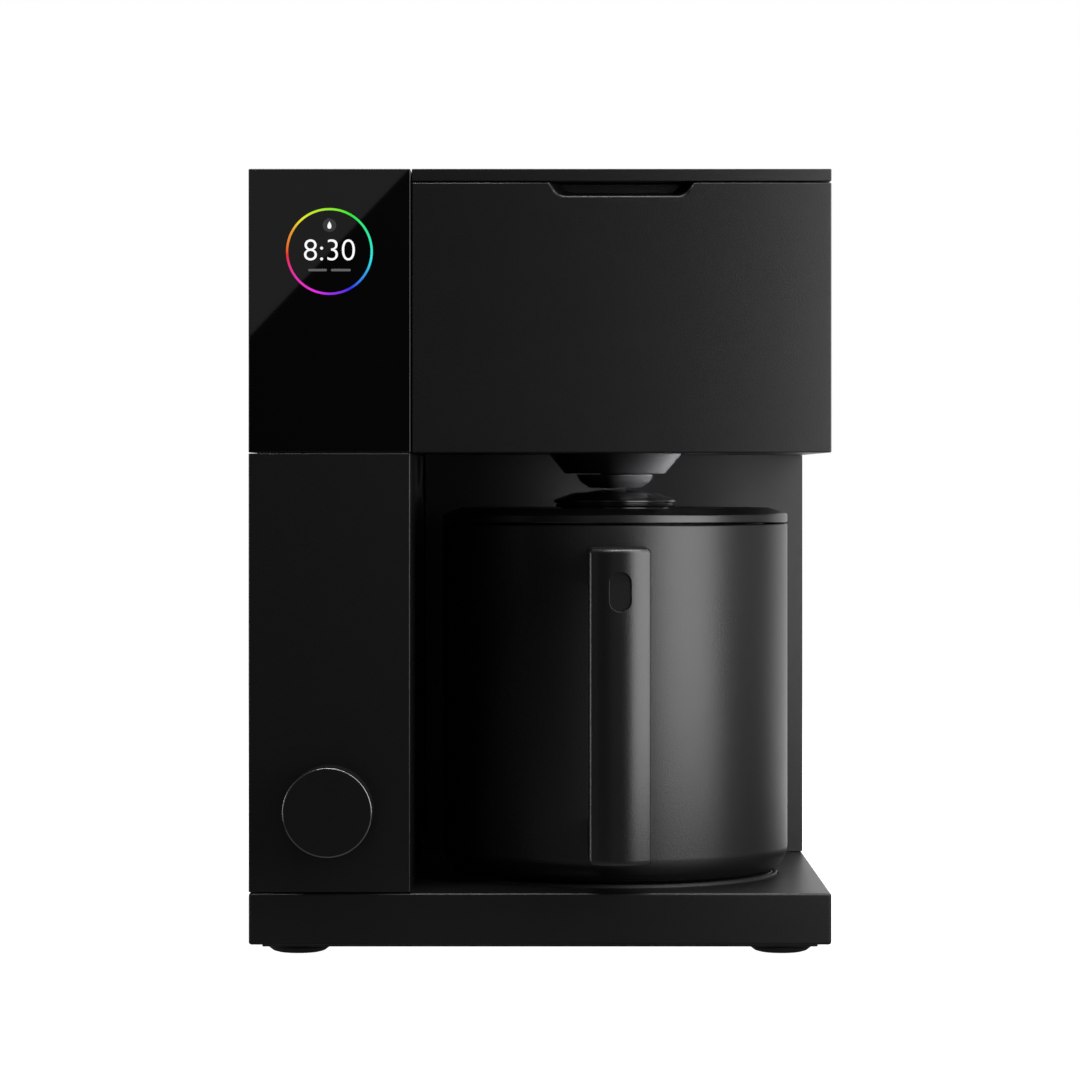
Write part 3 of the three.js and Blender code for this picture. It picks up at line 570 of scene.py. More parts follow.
def hue_ring_material(centre):
    """Light whose hue runs clockwise round the ring's middle, from its top."""
    material = glowing("hue_ring", (1, 1, 1))
    nodes, links = material.node_tree.nodes, material.node_tree.links

    def maths(operation, first, second=None):
        node = nodes.new("ShaderNodeMath")
        node.operation = operation
        for socket, value in zip(node.inputs, (first, second)):
            if isinstance(value, bpy.types.NodeSocket):
                links.new(value, socket)
            elif value is not None:
                socket.default_value = value
        return node.outputs["Value"]

    split = nodes.new("ShaderNodeSeparateXYZ")
    shift = nodes.new("ShaderNodeVectorMath")
    shift.operation = "SUBTRACT"
    shift.inputs[1].default_value = centre
    links.new(nodes.new("ShaderNodeTexCoord").outputs["Object"], shift.inputs[0])
    links.new(shift.outputs["Vector"], split.inputs["Vector"])
    left = maths("MULTIPLY", split.outputs["X"], -1.0)
    down = maths("MULTIPLY", split.outputs["Z"], -1.0)
    angle = maths("ARCTAN2", left, down)  # 0 at the ring's foot
    turn = nodes.new("ShaderNodeMapRange")
    turn.inputs["From Min"].default_value = -math.pi
    turn.inputs["From Max"].default_value = math.pi
    links.new(angle, turn.inputs["Value"])
    hue = nodes.new("ShaderNodeFloatCurve")
    curve = hue.mapping.curves[0]
    for i, degrees in enumerate(HUES):
        at, value = i / (len(HUES) - 1), degrees / HUES[-1]
        if i in (0, len(HUES) - 1):
            curve.points[0 if i == 0 else -1].location = (at, value)
        else:
            curve.points.new(at, value)
    for point in curve.points:
        point.handle_type = "VECTOR"
    hue.mapping.update()
    links.new(turn.outputs["Result"], hue.inputs["Value"])
    full = maths("MULTIPLY", hue.outputs["Value"], HUES[-1] / 360)
    colour = nodes.new("ShaderNodeCombineColor")
    colour.mode = "HSV"  # its sockets keep their names: Green is saturation, Blue is value
    colour.inputs["Green"].default_value = 0.97
    colour.inputs["Blue"].default_value = 0.82
    links.new(maths("FRACT", full), colour.inputs["Red"])
    links.new(colour.outputs["Color"], nodes["Principled BSDF"].inputs["Emission Color"])
    return material


def inlay(name, outline, holes, centre, front, material, height=0.06 * MM):
    """A thin lit shape on the glass, drawn in (x, z) about the display's middle."""
    shape = facing_front(plate(outline, holes, height, height * 0.2))
    moved(shape, (centre.x, front, centre.z))
    piece(name, shape, "machine", material)


def digits(text, size, centre, front, lift, material):
    """Plain numerals standing on the glass, lift above the display's middle."""
    curve = bpy.data.curves.new("clock", "FONT")
    curve.body, curve.size, curve.align_x, curve.align_y = text, size, "CENTER", "CENTER"
    half_thickness = 0.03 * MM
    curve.extrude = half_thickness
    curve.offset = -0.012 * size  # makes the strokes thinner
    work = new_object("clock", curve)
    bm = facing_front(final_body(work))
    bpy.data.objects.remove(work)
    moved(bm, (centre.x, front - half_thickness, centre.z + lift))
    piece("clock_digits", bm, "machine", material)


def display_pieces():
    centre = middle("display_module")
    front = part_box("display_glass")[0].y
    white = glowing("lit_white", (1.0, 1.0, 1.0))
    grey = glowing("lit_grey", (0.12, 0.12, 0.12))
    badge = glowing("lit_dark_grey", (0.035, 0.035, 0.035))
    outer, inner = mm(16.75, 15.9)
    ring = circle(outer, 128)
    inlay("hue_ring", ring, [circle(inner, 128)], centre, front, hue_ring_material(centre))
    digits("8:30", 12 * MM, centre, front, 0.1 * MM, white)

    line, half_bar = mm(-7.2, 0.45)
    for name, start, end in (("left", -8.2, -1.0), ("right", 0.6, 8.2)):
        bar = rectangle(start * MM, end * MM, line - half_bar, line + half_bar, 0.4 * MM)
        inlay(f"status_bar_{name}", bar, [], centre, front, grey)

    lift, radius, half_width, half_height = mm(10.1, 2.6, 1.05, 1.45)
    inlay("badge", circle(radius, 48, 0, lift), [], centre, front, badge, 0.04 * MM)
    drop = []
    for i in range(32):
        a = 2 * math.pi * i / 32
        x = half_width * math.sin(a) * math.sin(a / 2) ** 1.2
        drop.append((x, lift + 0.1 * MM + half_height * math.cos(a)))
    inlay("badge_drop", drop, [], centre, front, white, 0.09 * MM)


# ---------------------------------------------------------------- brew head


def head_shell():
    low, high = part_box("head_shell")
    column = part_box("back_column")[0].y
    walls = channel(low, high, high.y)
    floor = block(low, (high.x, column + SHELL + 0.3 * MM, low.z + SHELL))
    centre_x = (low.x + high.x) / 2
    top_half, low_half, drop, depth = mm(28.75, 24.25, 4.9, 11)
    surround = block(
        (centre_x - top_half - 3 * MM, low.y, high.z - drop - SHELL),
        (centre_x + top_half + 3 * MM, low.y + depth + SHELL, high.z),
    )
    body = soften(combined([walls, floor, surround]), 0.6 * MM, 4)
    above, slant = mm(2, 0.4)

    def scoop(inset, rise):
        """The notch's outline, drawn in by inset at its sides and by rise at its floor."""
        half_top, half_low = top_half + slant - inset, low_half - slant - inset
        corners = [
            (centre_x - half_top, high.z + above), (centre_x - half_low, high.z - drop + rise),
            (centre_x + half_low, high.z - drop + rise), (centre_x + half_top, high.z + above),
        ]
        return rounded(corners, mm(0, 5, 5, 0), 8)

    lip, taper, rise = mm(1.3, 3.6, 1.6)
    steps = 6
    sections = [(low.y - MM, scoop(-lip, -lip))]
    for i in range(steps + 1):
        turn = math.pi / 2 * i / steps
        flare = lip * (math.sin(turn) - 1)
        sections.append((low.y + lip * (1 - math.cos(turn)), scoop(flare, flare)))
    sections.append((low.y + depth, scoop(taper, rise)))
    notch = loft(sections, "Y")
    basket = middle("basket_holder")
    radius, top = 29.6 * MM, low.z + SHELL + MM
    opening = revolve([(0, low.z - MM), (radius, low.z - MM), (radius, top), (0, top)])
    shell = combined([body], [notch, centred(opening, basket)])
    piece("brew_head", shell, "machine", MATTE, "head_shell")


def deck():
    low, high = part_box("top_deck")
    basket, port = middle("basket_holder"), middle("outlet_port")
    outline = rectangle(low.x, high.x, low.y, high.y, 1.5 * MM)
    basket_hole, port_hole = mm(62, 5.4)
    holes = [circle(basket_hole, 128, basket.x, basket.y), circle(port_hole, 40, port.x, port.y)]
    sheet = moved(plate(outline, holes, high.z - low.z, 0.4 * MM), (0, 0, low.z))
    piece("basket_deck", sheet, "machine", INNER, "top_deck")


# ---------------------------------------------------------------- lids

LID_EDGE = 0.4 * MM
BARREL = 3.2 * MM
PIN_HOLE = 1.6 * MM
EAR_ROOM = 0.4 * MM
STRIP_ROOM = 4.2 * MM  # from the hinge's axis to the plate


def lid_plate(low, high, strip, ear):
    """A lid's plate with the barrel of its hinge between the ears of the fixed strip."""
    top = high.z
    axis_y, axis_z = high.y - BARREL, top - BARREL
    rear = axis_y - STRIP_ROOM
    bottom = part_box(strip)[0].z
    barrel_x = (low.x + ear + EAR_ROOM, high.x - ear - EAR_ROOM)
    slab = soften(block((low.x, low.y, bottom), (high.x, rear, top)), LID_EDGE)
    tongue = block((barrel_x[0], rear - 2 * MM, bottom), (barrel_x[1], axis_y, top))
    barrel = rod(BARREL, *barrel_x, "X", (axis_y, axis_z), 48)
    bore = rod(PIN_HOLE, barrel_x[0] - MM, barrel_x[1] + MM, "X", (axis_y, axis_z), 32)
    return combined([slab, tongue, barrel], [bore])


def hinge_strip(node, axis_y, ear):
    low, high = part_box(node)
    axis_z = high.z - BARREL
    front = axis_y + 4 * MM
    parts = [soften(block((low.x, front, low.z), high), LID_EDGE)]
    for x0, x1 in ((low.x, low.x + ear), (high.x - ear, high.x)):
        parts.append(rod(BARREL, x0, x1, "X", (axis_y, axis_z), 48))
        parts.append(block((x0, axis_y, low.z), (x1, front + MM, high.z)))
    below = block((low.x - MM, low.y - MM, low.z - 5 * MM), (high.x + MM, front, low.z))
    return combined(parts, [below])


def brew_lid():
    ear = 9 * MM
    low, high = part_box("lid_plate")
    axis_y = high.y - BARREL
    top = lid_plate(low, high, "rear_top_cover", ear)
    piece("brew_lid_top", top, "brew_lid", MATTE, "lid_plate")
    strip = hinge_strip("rear_top_cover", axis_y, ear)
    piece("rear_top_strip", strip, "machine", MATTE, "rear_top_cover")

    low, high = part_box("lid_liner")
    shower, port = middle("shower_plate"), middle("outlet_port")
    ring_outer, ring_width, thickness = mm(54, 3, 2.2)
    bottom = high.z - thickness
    joint = bottom + 0.4 * MM  # a little inside the panel
    panel = plate(rectangle(low.x, high.x, low.y, high.y, 6 * MM), [], thickness, 0.5 * MM)
    moved(panel, (0, 0, bottom))
    section = rectangle(ring_outer - ring_width, ring_outer, low.z, joint, mm(0.8, 0.8, 0, 0))
    ring = centred(revolve(section), shower)
    section = rectangle(2.5 * MM, 6 * MM, low.z + 1.8 * MM, joint, mm(0.5, 0.8, 0, 0))
    boss = centred(revolve(section, 48), port)
    half_rib, end, first, pitch, margin = mm(0.6, 12, 6, 5, 3)
    ribs = []
    for side in (-1, 1):
        for i in range(3):
            x = shower.x + side * (ring_outer + first + i * pitch)
            if low.x + margin < x < high.x - margin:
                rib = block(
                    (x - half_rib, low.y + end, bottom - 1.2 * MM),
                    (x + half_rib, high.y - end, bottom + 0.3 * MM),
                )
                ribs.append(soften(rib, 0.3 * MM, 2))
    liner = joined(panel, ring, boss, *ribs)
    piece("lid_inner", liner, "brew_lid", INNER, "lid_liner")

    low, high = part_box("shower_plate")
    radius = (high.x - low.x) / 2
    middle_hole, hole, pitch = mm(1.1, 0.9, 8)
    holes = [circle(middle_hole, 16)]
    for row in range(1, 6):
        holes += [circle(hole, 12, x, y) for x, y in circle(row * pitch, row * 6)]
    disc = plate(circle(radius, 96), holes, high.z - low.z, 0.25 * MM)
    moved(disc, (shower.x, shower.y, low.z))
    piece("shower_disc", disc, "brew_lid", STAINLESS, "shower_plate")

    low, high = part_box("lid_seal")
    outer = (high.x - low.x) / 2
    lips = rounded(
        [
            (outer - 2.5 * MM, low.z + 0.4 * MM), (outer - 1.3 * MM, low.z + 0.9 * MM),
            (outer - 0.2 * MM, low.z), (outer, high.z), (outer - 2.5 * MM, high.z),
        ],
        0.25 * MM,
    )
    seal = centred(revolve(lips), shower)
    piece("lid_gasket", seal, "brew_lid", SILICONE, "lid_seal")


# ---------------------------------------------------------------- tank


def tank_pieces():
    ear = 8 * MM
    low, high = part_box("tank_body")
    wall = 2.2 * MM
    outlet = middle("tank_outlet")
    outer = prism(rectangle(low.x, high.x, low.y, high.y, 1.2 * MM, 4), "Z", low.z, high.z)
    soften(outer, 0.8 * MM, 3, lambda edge: centre_of(edge).z < low.z + 0.1 * MM)
    room = rectangle(low.x + wall, high.x - wall, low.y + wall, high.y - wall, 3 * MM, 6)
    inner = prism(room, "Z", low.z + wall, high.z + 2 * MM)
    spigot_radius = 9.4 * MM
    spigot = rod(spigot_radius, low.z - MM, low.z + 2 * wall, "Z", (outlet.x, outlet.y), 64)
    body = combined([outer], [inner, spigot])
    piece("water_tank", body, "tank", SMOKED, "tank_body")

    tick_y = high.y - 26 * MM
    half_mark, proud, sunk, edge = mm(0.3, 0.12, 0.1, 0.08)
    marks = []
    for i in range(9):
        z = low.z + (28 + 21 * i) * MM
        length = (9 if i % 2 == 0 else 5) * MM
        mark = block(
            (low.x - proud, tick_y, z - half_mark), (low.x + sunk, tick_y + length, z + half_mark)
        )
        marks.append(soften(mark, edge, 2))
    pale = surface("pale_print", (0.55, 0.56, 0.57), 0.5)
    piece("tank_level_marks", joined(*marks), "tank", pale)

    low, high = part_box("tank_lid")
    axis_y = high.y - BARREL
    strip_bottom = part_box("tank_hinge_strip")[0].z
    top = lid_plate(low, high, "tank_hinge_strip", ear)
    inset, lip, corner, skirt_end = mm(3.4, 1.6, 3, 12)
    x0, x1 = low.x + inset, high.x - inset
    y0, y1 = low.y + inset, axis_y - skirt_end
    outer = rectangle(x0, x1, y0, y1, corner, 6)
    inner = rectangle(x0 + lip, x1 - lip, y0 + lip, y1 - lip, corner - MM, 6)
    skirt = combined(
        [prism(outer, "Z", low.z, strip_bottom + 0.5 * MM)],
        [prism(inner, "Z", low.z - MM, strip_bottom)],
    )
    piece("tank_lid_top", joined(top, skirt), "tank_lid", MATTE, "tank_lid")
    strip = hinge_strip("tank_hinge_strip", axis_y, ear)
    piece("tank_top_strip", strip, "tank", MATTE, "tank_hinge_strip")


def dock():
    low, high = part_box("tank_dock")
    seat = middle("tank_seat")
    left = block((low.x, low.y, low.z), (low.x + SHELL, high.y, high.z))
    rear = block((low.x, high.y - SHELL, low.z), high)
    top = block((low.x, low.y, high.z - SHELL), high)
    body = soften(combined([left, rear, top]), 0.6 * MM)
    hole_radius = 12.8 * MM
    hole = rod(hole_radius, high.z - 2 * SHELL, high.z + MM, "Z", (seat.x, seat.y), 64)
    piece("tank_shelf", combined([body], [hole]), "machine", MATTE, "tank_dock")


# ---------------------------------------------------------------- column and rear


def column():
    low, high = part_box("back_column")
    outline = [
        (low.x, low.y), (high.x, low.y), (high.x, high.y), (high.x - SHELL, high.y),
        (high.x - SHELL, low.y + SHELL), (low.x, low.y + SHELL),
    ]
    under_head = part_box("head_shell")[0].z - 0.02 * MM
    body = soften(prism(outline, "Z", low.z, under_head), 0.6 * MM, 3, upright)
    piece("bay_back", body, "machine", WALL, "back_column")


def rear_pieces():
    low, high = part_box("rear_cover")
    inlet_low, inlet_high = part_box("power_inlet")
    room = 0.4 * MM
    x0, x1 = inlet_low.x - room, inlet_high.x + room
    holes = [rectangle(x0, x1, inlet_low.z - room, inlet_high.z + room, MM)]
    vent_left, vent_right, vent_low, pitch, height, end = mm(-20, 52, 108, 9, 3, 1.45)
    for i in range(7):
        z = vent_low + i * pitch
        holes.append(rectangle(vent_left, vent_right, z, z + height, end, 6))
    screws = [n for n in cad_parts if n.startswith("rear_screw")]
    for node in screws:
        at = middle(node)
        holes.append(circle(3.1 * MM, 40, at.x, at.z))
    outline = rectangle(low.x, high.x, low.z, high.z, 0.4 * MM)
    sheet = facing_front(plate(outline, holes, high.y - low.y, 0.5 * MM))
    piece("rear_panel", moved(sheet, (0, high.y, 0)), "machine", MATTE, "rear_cover")

    for node in screws:
        low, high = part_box(node)
        at = middle(node)
        radius = (high.x - low.x) / 2
        head = revolve(
            [
                (0, 0.2 * MM), (radius * 0.7, 0.15 * MM), (radius, -0.35 * MM),
                (radius, -1.3 * MM), (1.4 * MM, -1.35 * MM), (1.4 * MM, low.y - high.y),
                (0, low.y - high.y),
            ],
            40,
        )
        long, short, deep = mm(1.5, 0.3, 0.9)
        cross = [block((-a, -b, -deep), (a, b, MM)) for a, b in ((long, short), (short, long))]
        screw = turned(combined([head], cross), -math.pi / 2, "X")
        moved(screw, (at.x, high.y - 0.2 * MM, at.z))
        piece(f"{node}_head", screw, "machine", ZINC, node)


def inlet():
    low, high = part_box("power_inlet")
    at = middle("power_inlet")
    half_x, half_z = mm(11.8, 8)
    body = soften(block(low, high), 0.6 * MM)
    corners = mm(0.8, 0.8, 3.2, 3.2)
    mouth = rectangle(at.x - half_x, at.x + half_x, at.z - half_z, at.z + half_z, corners)
    socket = prism(mouth, "Y", high.y - 16 * MM, high.y + MM)
    shell = combined([body], [socket])
    pins = []
    for dx, dz in ((-7, -2), (7, -2), (0, 2.5)):
        x, z = at.x + dx * MM, at.z + dz * MM
        pin = block((x - MM, high.y - 17 * MM, z - 2 * MM), (x + MM, high.y - 5 * MM, z + 2 * MM))
        pins.append(soften(pin, 0.4 * MM, 2))
    piece("power_socket", shell, "machine", INNER, "power_inlet")
    piece("power_socket_pins", joined(*pins), "machine", ZINC)


# ---------------------------------------------------------------- basket and drip stop


def basket_pieces():
    centre = middle("basket_holder")
    low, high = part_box("basket_holder")
    flange = (high.x - low.x) / 2
    radius = flange - 5 * MM
    foot, bore, skin = mm(20.4, 6.2, 2)
    cone_slope = 0.819  # how far the cone widens for its height
    cone_top = low.z + (radius - foot) / cone_slope
    under = high.z - 2 * MM
    holder = rounded(
        [
            (bore, low.z), (foot, low.z), (radius, cone_top), (radius, under), (flange, under),
            (flange, high.z), (radius - skin, high.z), (radius - skin, cone_top + 0.8 * MM),
            (foot - 0.9 * MM, low.z + skin), (bore, low.z + skin),
        ],
        mm(0, 0.5, 6, 0.5, 0.8, 0.8, 1, 6, 1, 0),
    )
    piece("basket", centred(revolve(holder), centre), "machine", SEMI_GLOSS,
          "basket_holder")

    low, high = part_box("filter_insert")
    rim = (high.x - low.x) / 2
    body = rim - 5 * MM
    turn = cone_top + 1.4 * MM
    mouth, floor_radius = mm(10, 27)
    insert = rounded(
        [
            (mouth, low.z), (floor_radius, low.z), (body, turn), (body, high.z - 1.3 * MM),
            (rim, high.z - 1.3 * MM), (rim, high.z), (body - 1.5 * MM, high.z),
            (body - 1.5 * MM, turn + 0.5 * MM), (floor_radius - MM, low.z + 1.5 * MM),
            (mouth, low.z + 1.5 * MM),
        ],
        mm(0.3, 2, 6, 0.4, 0.5, 0.5, 0.6, 6, 2, 0.3),
    )
    start = (floor_radius, 0, low.z + 4 * MM)
    slope = math.atan2(turn - low.z, body - floor_radius)
    count, half_rib, depth = 24, 0.5 * MM, 1.2 * MM
    ribs = []
    for i in range(count):
        rib = block(
            (floor_radius, -half_rib, start[2]), (body - depth, half_rib, start[2] + depth)
        )
        turned(rib, -slope, "Y", start)
        ribs.append(turned(rib, i * 2 * math.pi / count, "Z"))
    cone = joined(revolve(insert), *ribs)
    piece("filter_cone", centred(cone, centre), "machine", SOFT, "filter_insert")

    low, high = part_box("drip_stop_body")
    outlet = rounded(
        [
            (5 * MM, low.z), (10.4 * MM, low.z), (14.2 * MM, low.z + 2.4 * MM),
            (15.8 * MM, low.z + 5.5 * MM), (5.8 * MM, low.z + 5.5 * MM), (5.8 * MM, high.z),
            (3 * MM, high.z), (3 * MM, high.z - 1.5 * MM), (5 * MM, high.z - 1.5 * MM),
        ],
        mm(0.3, 1.6, 3, 0.4, 0.3, 0.3, 0.2, 0.2, 0),
    )
    piece("drip_outlet", centred(revolve(outlet), centre), "machine", SEMI_GLOSS,
          "drip_stop_body")

    low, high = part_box("drip_valve")
    valve = rounded(
        [
            (0, high.z), (0, low.z), (4.5 * MM, low.z), (4.5 * MM, low.z + 1.8 * MM),
            (2.4 * MM, low.z + 1.8 * MM), (2.4 * MM, high.z - 1.5 * MM),
            (6.5 * MM, high.z - 1.5 * MM), (5.6 * MM, high.z),
        ],
        mm(0, 0, 0.5, 0.3, 0.3, 0.3, 0.4, 0.5),
    )
    plug = revolve([*valve[1:], valve[0]], 56)
    piece("drip_plug", centred(plug, centre), "drip_valve", SILICONE, "drip_valve")


def valve_spring():
    """A coil of wire from the foot to the top of the spring's box."""
    low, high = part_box("drip_valve_spring")
    foot, top = middle("drip_valve_spring"), middle("drip_valve_spring")
    foot.z, top.z = low.z, high.z
    wire, turns, per_turn, sides = 0.4 * MM, 4, 36, 10  # wire is its radius
    coil = (high.x - low.x) / 2 - wire
    up = Vector((0, 0, 1))
    bm = bmesh.new()
    rings = []
    for i in range(turns * per_turn + 1):
        angle = 2 * math.pi * i / per_turn
        out = Vector((math.cos(angle), math.sin(angle), 0))
        at = foot.lerp(top, i / (turns * per_turn)) + out * coil
        at.z = min(max(at.z, low.z + wire), high.z - wire)
        rings.append([bm.verts.new(at + (out * x + up * z)) for x, z in circle(wire, sides)])
    for a, b in zip(rings, rings[1:]):
        for i in range(sides):
            j = (i + 1) % sides
            bm.faces.new((a[i], b[i], b[j], a[j]))
    bm.faces.new(rings[0])
    bm.faces.new(rings[-1][::-1])
    bmesh.ops.recalc_face_normals(bm, faces=bm.faces)
    piece("valve_spring", bm, "machine", WIRE, "drip_valve_spring",
          ("drip_valve", top, foot))


# ---------------------------------------------------------------- carafe


def carafe_body():
    low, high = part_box("carafe_shell")
    centre = middle("carafe_shell")
    radius = (high.x - low.x) / 2
    bend, skin, lip, hollow = mm(15, 1.6, 0.8, 1.2)
    shell = rounded(
        [
            (radius - bend - 8 * MM, low.z + hollow), (radius - bend - 6 * MM, low.z),
            (radius, low.z), (radius, high.z), (radius - 1.9 * MM, high.z),
            (radius - skin, low.z + skin),
        ],
        [1 * MM, 0.8 * MM, bend, lip, 0.5 * MM, bend - skin],
        10,
    )
    profile = [(0, low.z + hollow), *shell, (0, low.z + skin + hollow)]
    piece("carafe_outer", centred(revolve(profile, 160), centre), "carafe", COATED_STEEL,
          "carafe_shell")

    low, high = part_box("carafe_flask")
    radius = (high.x - low.x) / 2
    skin, bowl = mm(1.4, 6)
    liner = rounded(
        [
            (radius, low.z), (radius, high.z), (radius - skin, high.z),
            (radius - skin, low.z + skin),
        ],
        [bowl, 0.3 * MM, 0.3 * MM, bowl - skin],
        8,
    )
    profile = [(0, low.z), *liner, (0, low.z + skin)]
    piece("carafe_inner", centred(revolve(profile), centre), "carafe", STAINLESS,
          "carafe_flask")

    low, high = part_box("carafe_collar")
    radius = (high.x - low.x) / 2
    collar = rectangle(radius - 3.3 * MM, radius, low.z, high.z, 0.5 * MM)
    piece("carafe_neck", centred(revolve(collar), centre), "carafe", INNER,
          "carafe_collar")


def carafe_grip():
    low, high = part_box("carafe_handle")
    centre = middle("carafe_shell")
    shell_radius = (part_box("carafe_shell")[1].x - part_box("carafe_shell")[0].x) / 2
    arm_end = centre.y - shell_radius + 10 * MM
    thickness, arm, bow, corner = mm(15, 15, 3.2, 1.8)
    steps = 32
    half = (high.x - low.x) / 2
    front = []
    for i in range(steps + 1):
        across = -1 + 2 * i / steps
        front.append((centre.x + across * (half - corner), low.y + bow * across * across))
    shoulder = low.y + bow + 2.4 * MM
    pull = front[0][1] + 0.7 * MM
    plan = [(low.x, arm_end), (low.x, shoulder)]
    plan += round_to((low.x, shoulder), (low.x, pull), front[0])
    plan += front
    plan += round_to(front[-1], (high.x, pull), (high.x, shoulder))
    plan += [(high.x, shoulder), (high.x, arm_end)]
    grip = soften(prism(plan, "Z", low.z, high.z), 2.8 * MM, 6, level)

    window = rectangle(low.y + thickness, centre.y, low.z + arm, high.z - arm, 8 * MM, 10)
    fingers = prism(window, "X", low.x - 2 * MM, high.x + 2 * MM)
    reach, foot, top = shell_radius + 0.3 * MM, low.z - 2 * MM, high.z + 2 * MM
    can = centred(revolve([(0, foot), (reach, foot), (reach, top), (0, top)], 160), centre)
    grip = combined([grip], [fingers, can])
    near = 0.1 * MM

    def on_side(edge):
        point = centre_of(edge)
        outside = min(abs(point.x - low.x), abs(point.x - high.x)) < near
        behind = point.y > low.y + thickness - near
        return behind and outside and low.z + 4 * MM < point.z < high.z - 4 * MM

    soften(grip, 1.2 * MM, 3, on_side)

    half, corner, depth = mm(4.2, 4.55, 1.2)
    foot, top = high.z - 24 * MM, high.z - 9 * MM
    pill = rectangle(centre.x - half, centre.x + half, foot, top, corner, 12)
    grip = combined([grip], [prism(pill, "Y", low.y - MM, low.y + depth)])

    def on_recess(edge):
        point = centre_of(edge)
        within = abs(point.x - centre.x) < half + near and foot - near < point.z < top + near
        return within and point.y < low.y + depth - near

    soften(grip, 0.3 * MM, 3, on_recess)
    piece("carafe_grip", grip, "carafe", SOFT, "carafe_handle")


def round_to(start, corner, end, steps=6):
    """Points between start and end along a curve that the corner pulls out."""
    a, b, c = Vector(start), Vector(corner), Vector(end)
    points = []
    for i in range(1, steps):
        t = i / steps
        points.append(tuple((1 - t) ** 2 * a + 2 * t * (1 - t) * b + t * t * c))
    return points


def carafe_top():
    centre = middle("carafe_shell")
    low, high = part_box("carafe_lid")
    radius = (high.x - low.x) / 2
    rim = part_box("carafe_shell")[1].z + 0.6 * MM
    well, plug, skin = mm(22.3, 60, 2.5)
    lid = rounded(
        [
            (well, rim + MM), (plug - skin, rim + MM), (plug - skin, low.z), (plug, low.z),
            (plug, rim), (radius, rim), (radius, rim + 3.4 * MM), (radius - 7.5 * MM, high.z),
            (well, high.z - 0.4 * MM),
        ],
        mm(0, 0.5, 0.4, 0.6, 0.5, 0.6, 0.9, 2.5, 0.2),
    )
    piece("carafe_cover", centred(revolve(lid, 160), centre), "carafe_lid", SOFT,
          "carafe_lid")

    low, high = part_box("lid_dome")
    dome_radius = (high.x - low.x) / 2
    rim, groove, neck = low.z + 7 * MM, 0.35 * MM, 20.4 * MM
    dome = rounded(
        [
            (neck, low.z), (22 * MM, low.z), (22 * MM, rim), (dome_radius - 0.9 * MM, rim),
            (dome_radius - 0.4 * MM, rim + 1.1 * MM), (dome_radius - 1.2 * MM, rim + 1.3 * MM),
            (dome_radius - 1.2 * MM, rim + 1.3 * MM + groove),
            (dome_radius, rim + 1.5 * MM + groove), (dome_radius, rim + 3 * MM),
            (17.5 * MM, rim + 5.7 * MM), (12 * MM, high.z - 0.7 * MM), (5 * MM, high.z),
            (5 * MM, high.z - 1.8 * MM), (12 * MM, high.z - 2.4 * MM), (neck, rim + 2.6 * MM),
        ],
        mm(0.3, 0.3, 0, 0.3, 0.3, 0.1, 0.1, 0.3, 0.6, 10, 10, 0.4, 0.4, 4, 2),
    )
    piece("brew_dome", centred(revolve(dome, 128), centre), "carafe_lid", SEMI_GLOSS,
          "lid_dome")


# ---------------------------------------------------------------- pieces kept as the CAD has them

KEPT = {
    "display_module": INNER,
    "control_board": BOARD,
    "encoder": INNER,
    "partition_wall": INNER,
    "encoder_plunger": INNER,
    "knob_shaft": CAST,
    "column_frame": ZINC,
    "power_board": BOARD,
    "tank_seat": INNER,
    "flow_meter": INNER,
    "pump": CAST,
    "heater": CAST,
    "pump_hose": HOSE,
    "riser_hose": HOSE,
    "outlet_port": SILICONE,
    "lid_hinge_pin": STAINLESS,
    "tank_hinge_pin": STAINLESS,
    "tank_outlet": INNER,
    "tank_poppet": SILICONE,
    "brew_tube": INNER,
}


def keep_inner_nodes():
    for node, material in KEPT.items():
        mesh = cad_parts[node].data
        mesh.materials.clear()
        mesh.materials.append(material)


# ---------------------------------------------------------------- stage, lights and camera


def area_light(name, at, aim, size, power):
    data = bpy.data.lights.new(name, "AREA")
    data.shape = "RECTANGLE"
    data.size, data.size_y = size
    data.energy = power
    light = new_object(name, data)
    light.location = at
    light.rotation_euler = (Vector(aim) - Vector(at)).to_track_quat("-Z", "Y").to_euler()
    light.visible_camera = False
    return light


def flat_object(name, corners):
    bm = bmesh.new()
    bm.faces.new([bm.verts.new(corner) for corner in corners])
    return mesh_object(name, bm)


def glow_card(name, corners, strength):
    """A softly lit card that only reflections see."""
    card = flat_object(name, corners)
    card.data.materials.append(glowing(name, (1, 1, 1), strength))
    card.visible_camera = False
    card.visible_diffuse = False
    card.visible_shadow = False
    return card


